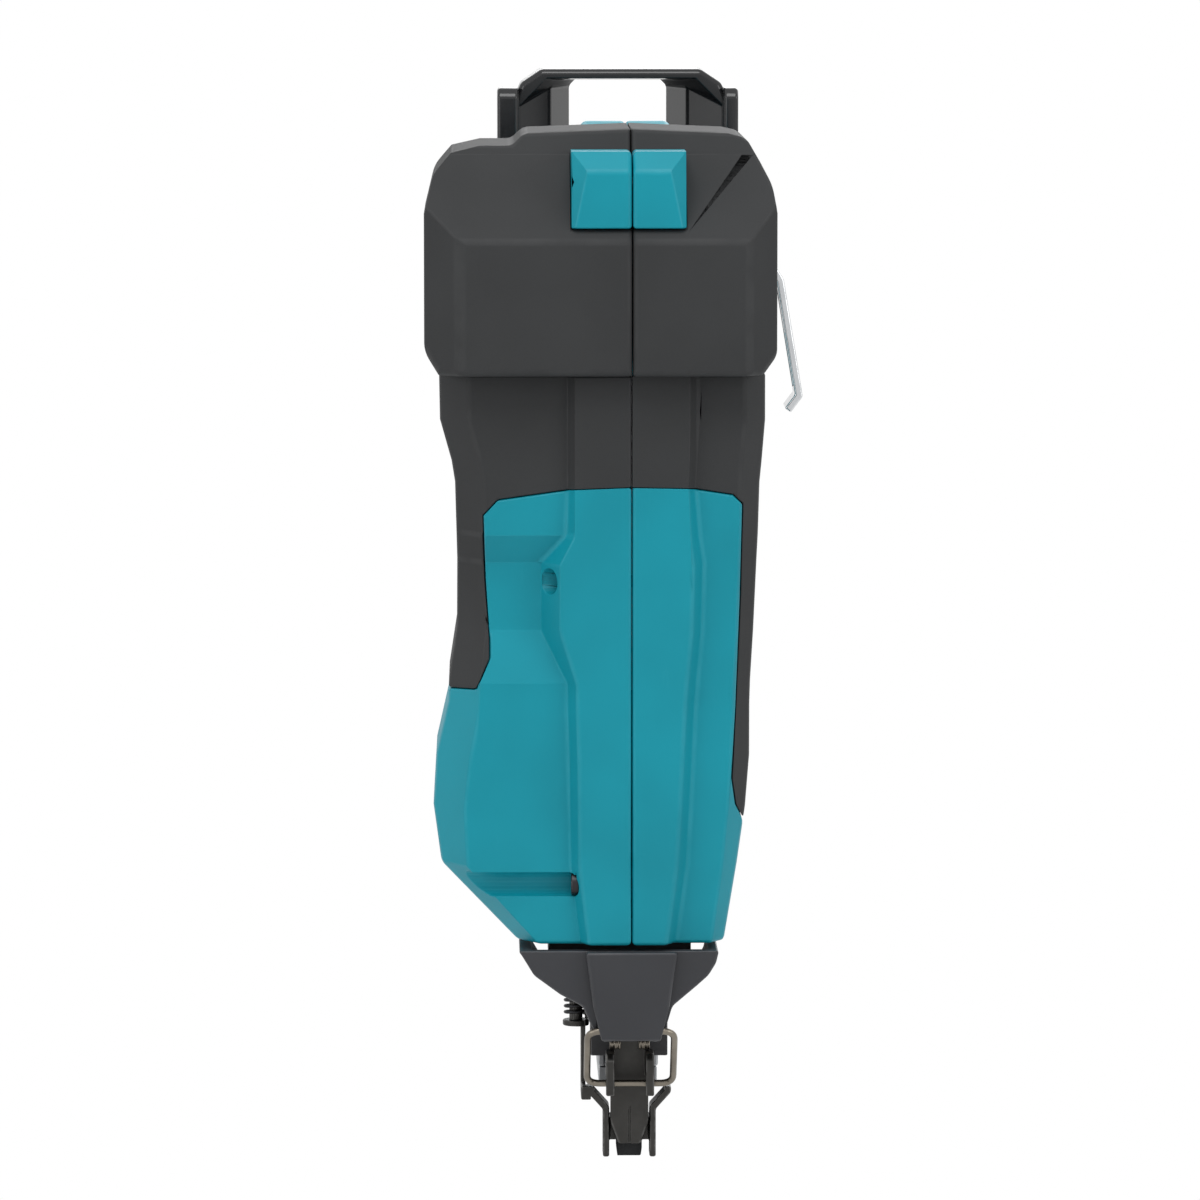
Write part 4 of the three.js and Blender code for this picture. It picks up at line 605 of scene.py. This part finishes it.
# Motor: a brushless motor with a copper-wound stator around its turning rotor, and a moulded fan
# on the rotor's end that draws air through the vents.
copper = Finish("copper_winding")
strand = copper.ridges(0.55, "Y", 0.6)
lacquer = copper.noise(5.0, 3.0).between(0.3, 0.7)
copper_tone = lacquer.shade(colour(140, 72, 36), colour(196, 112, 62))
copper.surface(copper_tone, 0.3 + strand * 0.12, strand, 0.12, 0.8, metallic=0.9)
laminated = Finish("laminated_rotor")
sheets = laminated.ridges(0.5, "Y")
rust = laminated.noise(4.0, 4.0).between(0.45, 0.8)
rotor_tone = rust.shade(colour(150, 150, 152), colour(120, 112, 104))
laminated.surface(rotor_tone, 0.34 + sheets * 0.14, sheets, 0.05, 0.8, metallic=0.95)
fan_nylon = moulded("fan_nylon", colour(36, 37, 39), rough=0.5, grain=0.5, depth=0.01, paling=0.2)
rounded("motor_stator", 0.5, copper.material, crease=28, steps=2)
rounded("motor_rotor", 0.4, laminated.material, crease=30, steps=2)
rounded("motor_fan", 0.4, fan_nylon, crease=28, steps=2)


# Magazine: a pressed channel behind the nose with a strip of glued brads in it, and a track with
# its sprung pusher that slides out to the back once its latch is pressed.
satin_nylon = moulded(
    "satin_nylon", colour(38, 39, 41), rough=0.42, grain=0.4, depth=0.012, paling=0.3,
)
track_grey = colour(150, 152, 154)
track_aluminium = metal(
    "track_aluminium", track_grey, rough=0.34, brush=(1, 0.04, 1), grain=0.4, depth=0.005,
    paling=0.5, stains=0.1,
)
brads = Finish("glued_brads")
pitches = brads.ridges(1.25, "Y")
glue = brads.noise(2.0, 4.0).between(0.5, 0.7)
brad_tone = glue.shade(colour(176, 172, 164), colour(150, 130, 96))
brads.surface(brad_tone, 0.3 + glue * 0.25, pitches, 0.25, 0.9, metallic=0.85)
rounded("magazine_channel", 0.8, track_aluminium, crease=28, steps=2)
rounded("nail_strip", 0.12, brads.material, crease=28, steps=1)
rounded("magazine_track", 0.4, track_aluminium, crease=28, steps=2)
rounded("magazine_latch", 0.8, satin_nylon)
rounded("nail_pusher", 0.5, satin_nylon)
rounded("pusher_spring", 0.4, ground_steel, crease=30, steps=2)


# Trigger: a moulded finger lever on a pin in the handle's throat, with the switch that its back
# presses; the pad has a fine cross-ribbed grip.
trigger_nylon = Finish("trigger_nylon")
ribs = trigger_nylon.ridges(1.6, "Z")
skin_grain = trigger_nylon.noise(0.4, 3.0)
trigger_tone = skin_grain.shade(colour(34, 35, 37), colour(46, 47, 50))
trigger_nylon.surface(trigger_tone, 0.4 + skin_grain * 0.12, ribs * 0.85 + skin_grain * 0.15, 0.18, 0.7)
rounded("trigger", 1.0, trigger_nylon.material, crease=16, steps=3)
rounded("trigger_switch", 0.4, satin_nylon, crease=28, steps=2)


# Inside the foot: the controller board with its copper tracks, and the terminal block and rails
# that the battery slides on to.
circuit = Finish("circuit_board")
cell_edges = circuit.cells(3.4, (1, 1, 1), "DISTANCE_TO_EDGE").between(0.03, 0.1)
parts_on_board = circuit.cells(6.5, (1, 1, 0.8)).between(0.22, 0.28)
track_tone = cell_edges.shade(colour(52, 122, 66), colour(24, 78, 40))
board_tone = circuit.blend(parts_on_board, colour(26, 27, 28), track_tone)
circuit.surface(board_tone, 0.35 + cell_edges * 0.1, 1 - parts_on_board, 0.5, 0.6)
rounded("controller_board", 0.2, circuit.material, crease=28, steps=1)
rounded("terminal_block", 0.5, satin_nylon)
gloss_nylon = moulded(
    "gloss_nylon", colour(24, 25, 27), rough=0.2, grain=1.4, depth=0.0006, paling=0.1, specular=0.5,
)
rounded("battery_rails", 0.5, gloss_nylon)


# Rear hoop: a deep hanging loop moulded in glossy black nylon over the top of the battery, its
# mouth dished towards a rounded window, with a short ear standing beside each front corner.
rounded("rear_hoop", 1.2, gloss_nylon, crease=20, steps=4)


# Belt hook: a slotted strip of spring steel bent to a hooked end and chromed, held on the foot's
# left side by one machine screw.
chrome = metal(
    "chrome", colour(206, 208, 210), rough=0.1, brush=(1, 1, 0.2), grain=0.8, depth=0.002,
    paling=0.3, stains=0.06,
)
rounded("belt_hook", 0.55, chrome, crease=20, steps=3)
rounded("belt_hook_screw", 0.3, black_zinc, crease=30, steps=2)


# Power button and work lamp in the front of the foot: a soft grey moulded button, and a lamp
# with a clear lens.
soft_grey = moulded("soft_grey", colour(150, 152, 154), rough=0.55, grain=0.4, depth=0.01, paling=0.2)
rounded("power_button", 0.5, soft_grey, crease=28, steps=3)
lens = Finish("clear_lens")
facets = lens.cells(1.1)
lens_tone = facets.between(0.1, 0.6).shade(colour(236, 240, 244), colour(206, 214, 222))
lens.surface(lens_tone, 0.12 + facets * 0.1, facets, 0.12, 0.7, coat_weight=0.6, coat_roughness=0.05)
rounded("work_lamp", 0.4, lens.material, crease=28, steps=2)


# Battery: a two-part nylon case welded round a block of ten cells in green wrap, with a release
# button on its back that frees its latch.
battery_nylon = moulded(
    "battery_nylon", colour(34, 35, 37), rough=0.48, grain=0.5, depth=0.02, paling=0.3,
)
cell_wrap = Finish("cell_wrap")
seam_lines = cell_wrap.ridges(65.0, "Z")
wrinkle = cell_wrap.noise(4.0, 4.0)
wrap_tone = wrinkle.shade(colour(18, 92, 70), colour(30, 122, 92))
cell_wrap.surface(wrap_tone, 0.3 + seam_lines * 0.08, wrinkle, 0.06, 0.7)
rounded("battery_case", 2.2, battery_nylon, crease=16, steps=4)
rounded("battery_cells", 0.5, cell_wrap.material, crease=28, steps=2)
rounded("battery_button", 0.7, trigger_nylon.material, crease=28, steps=2)
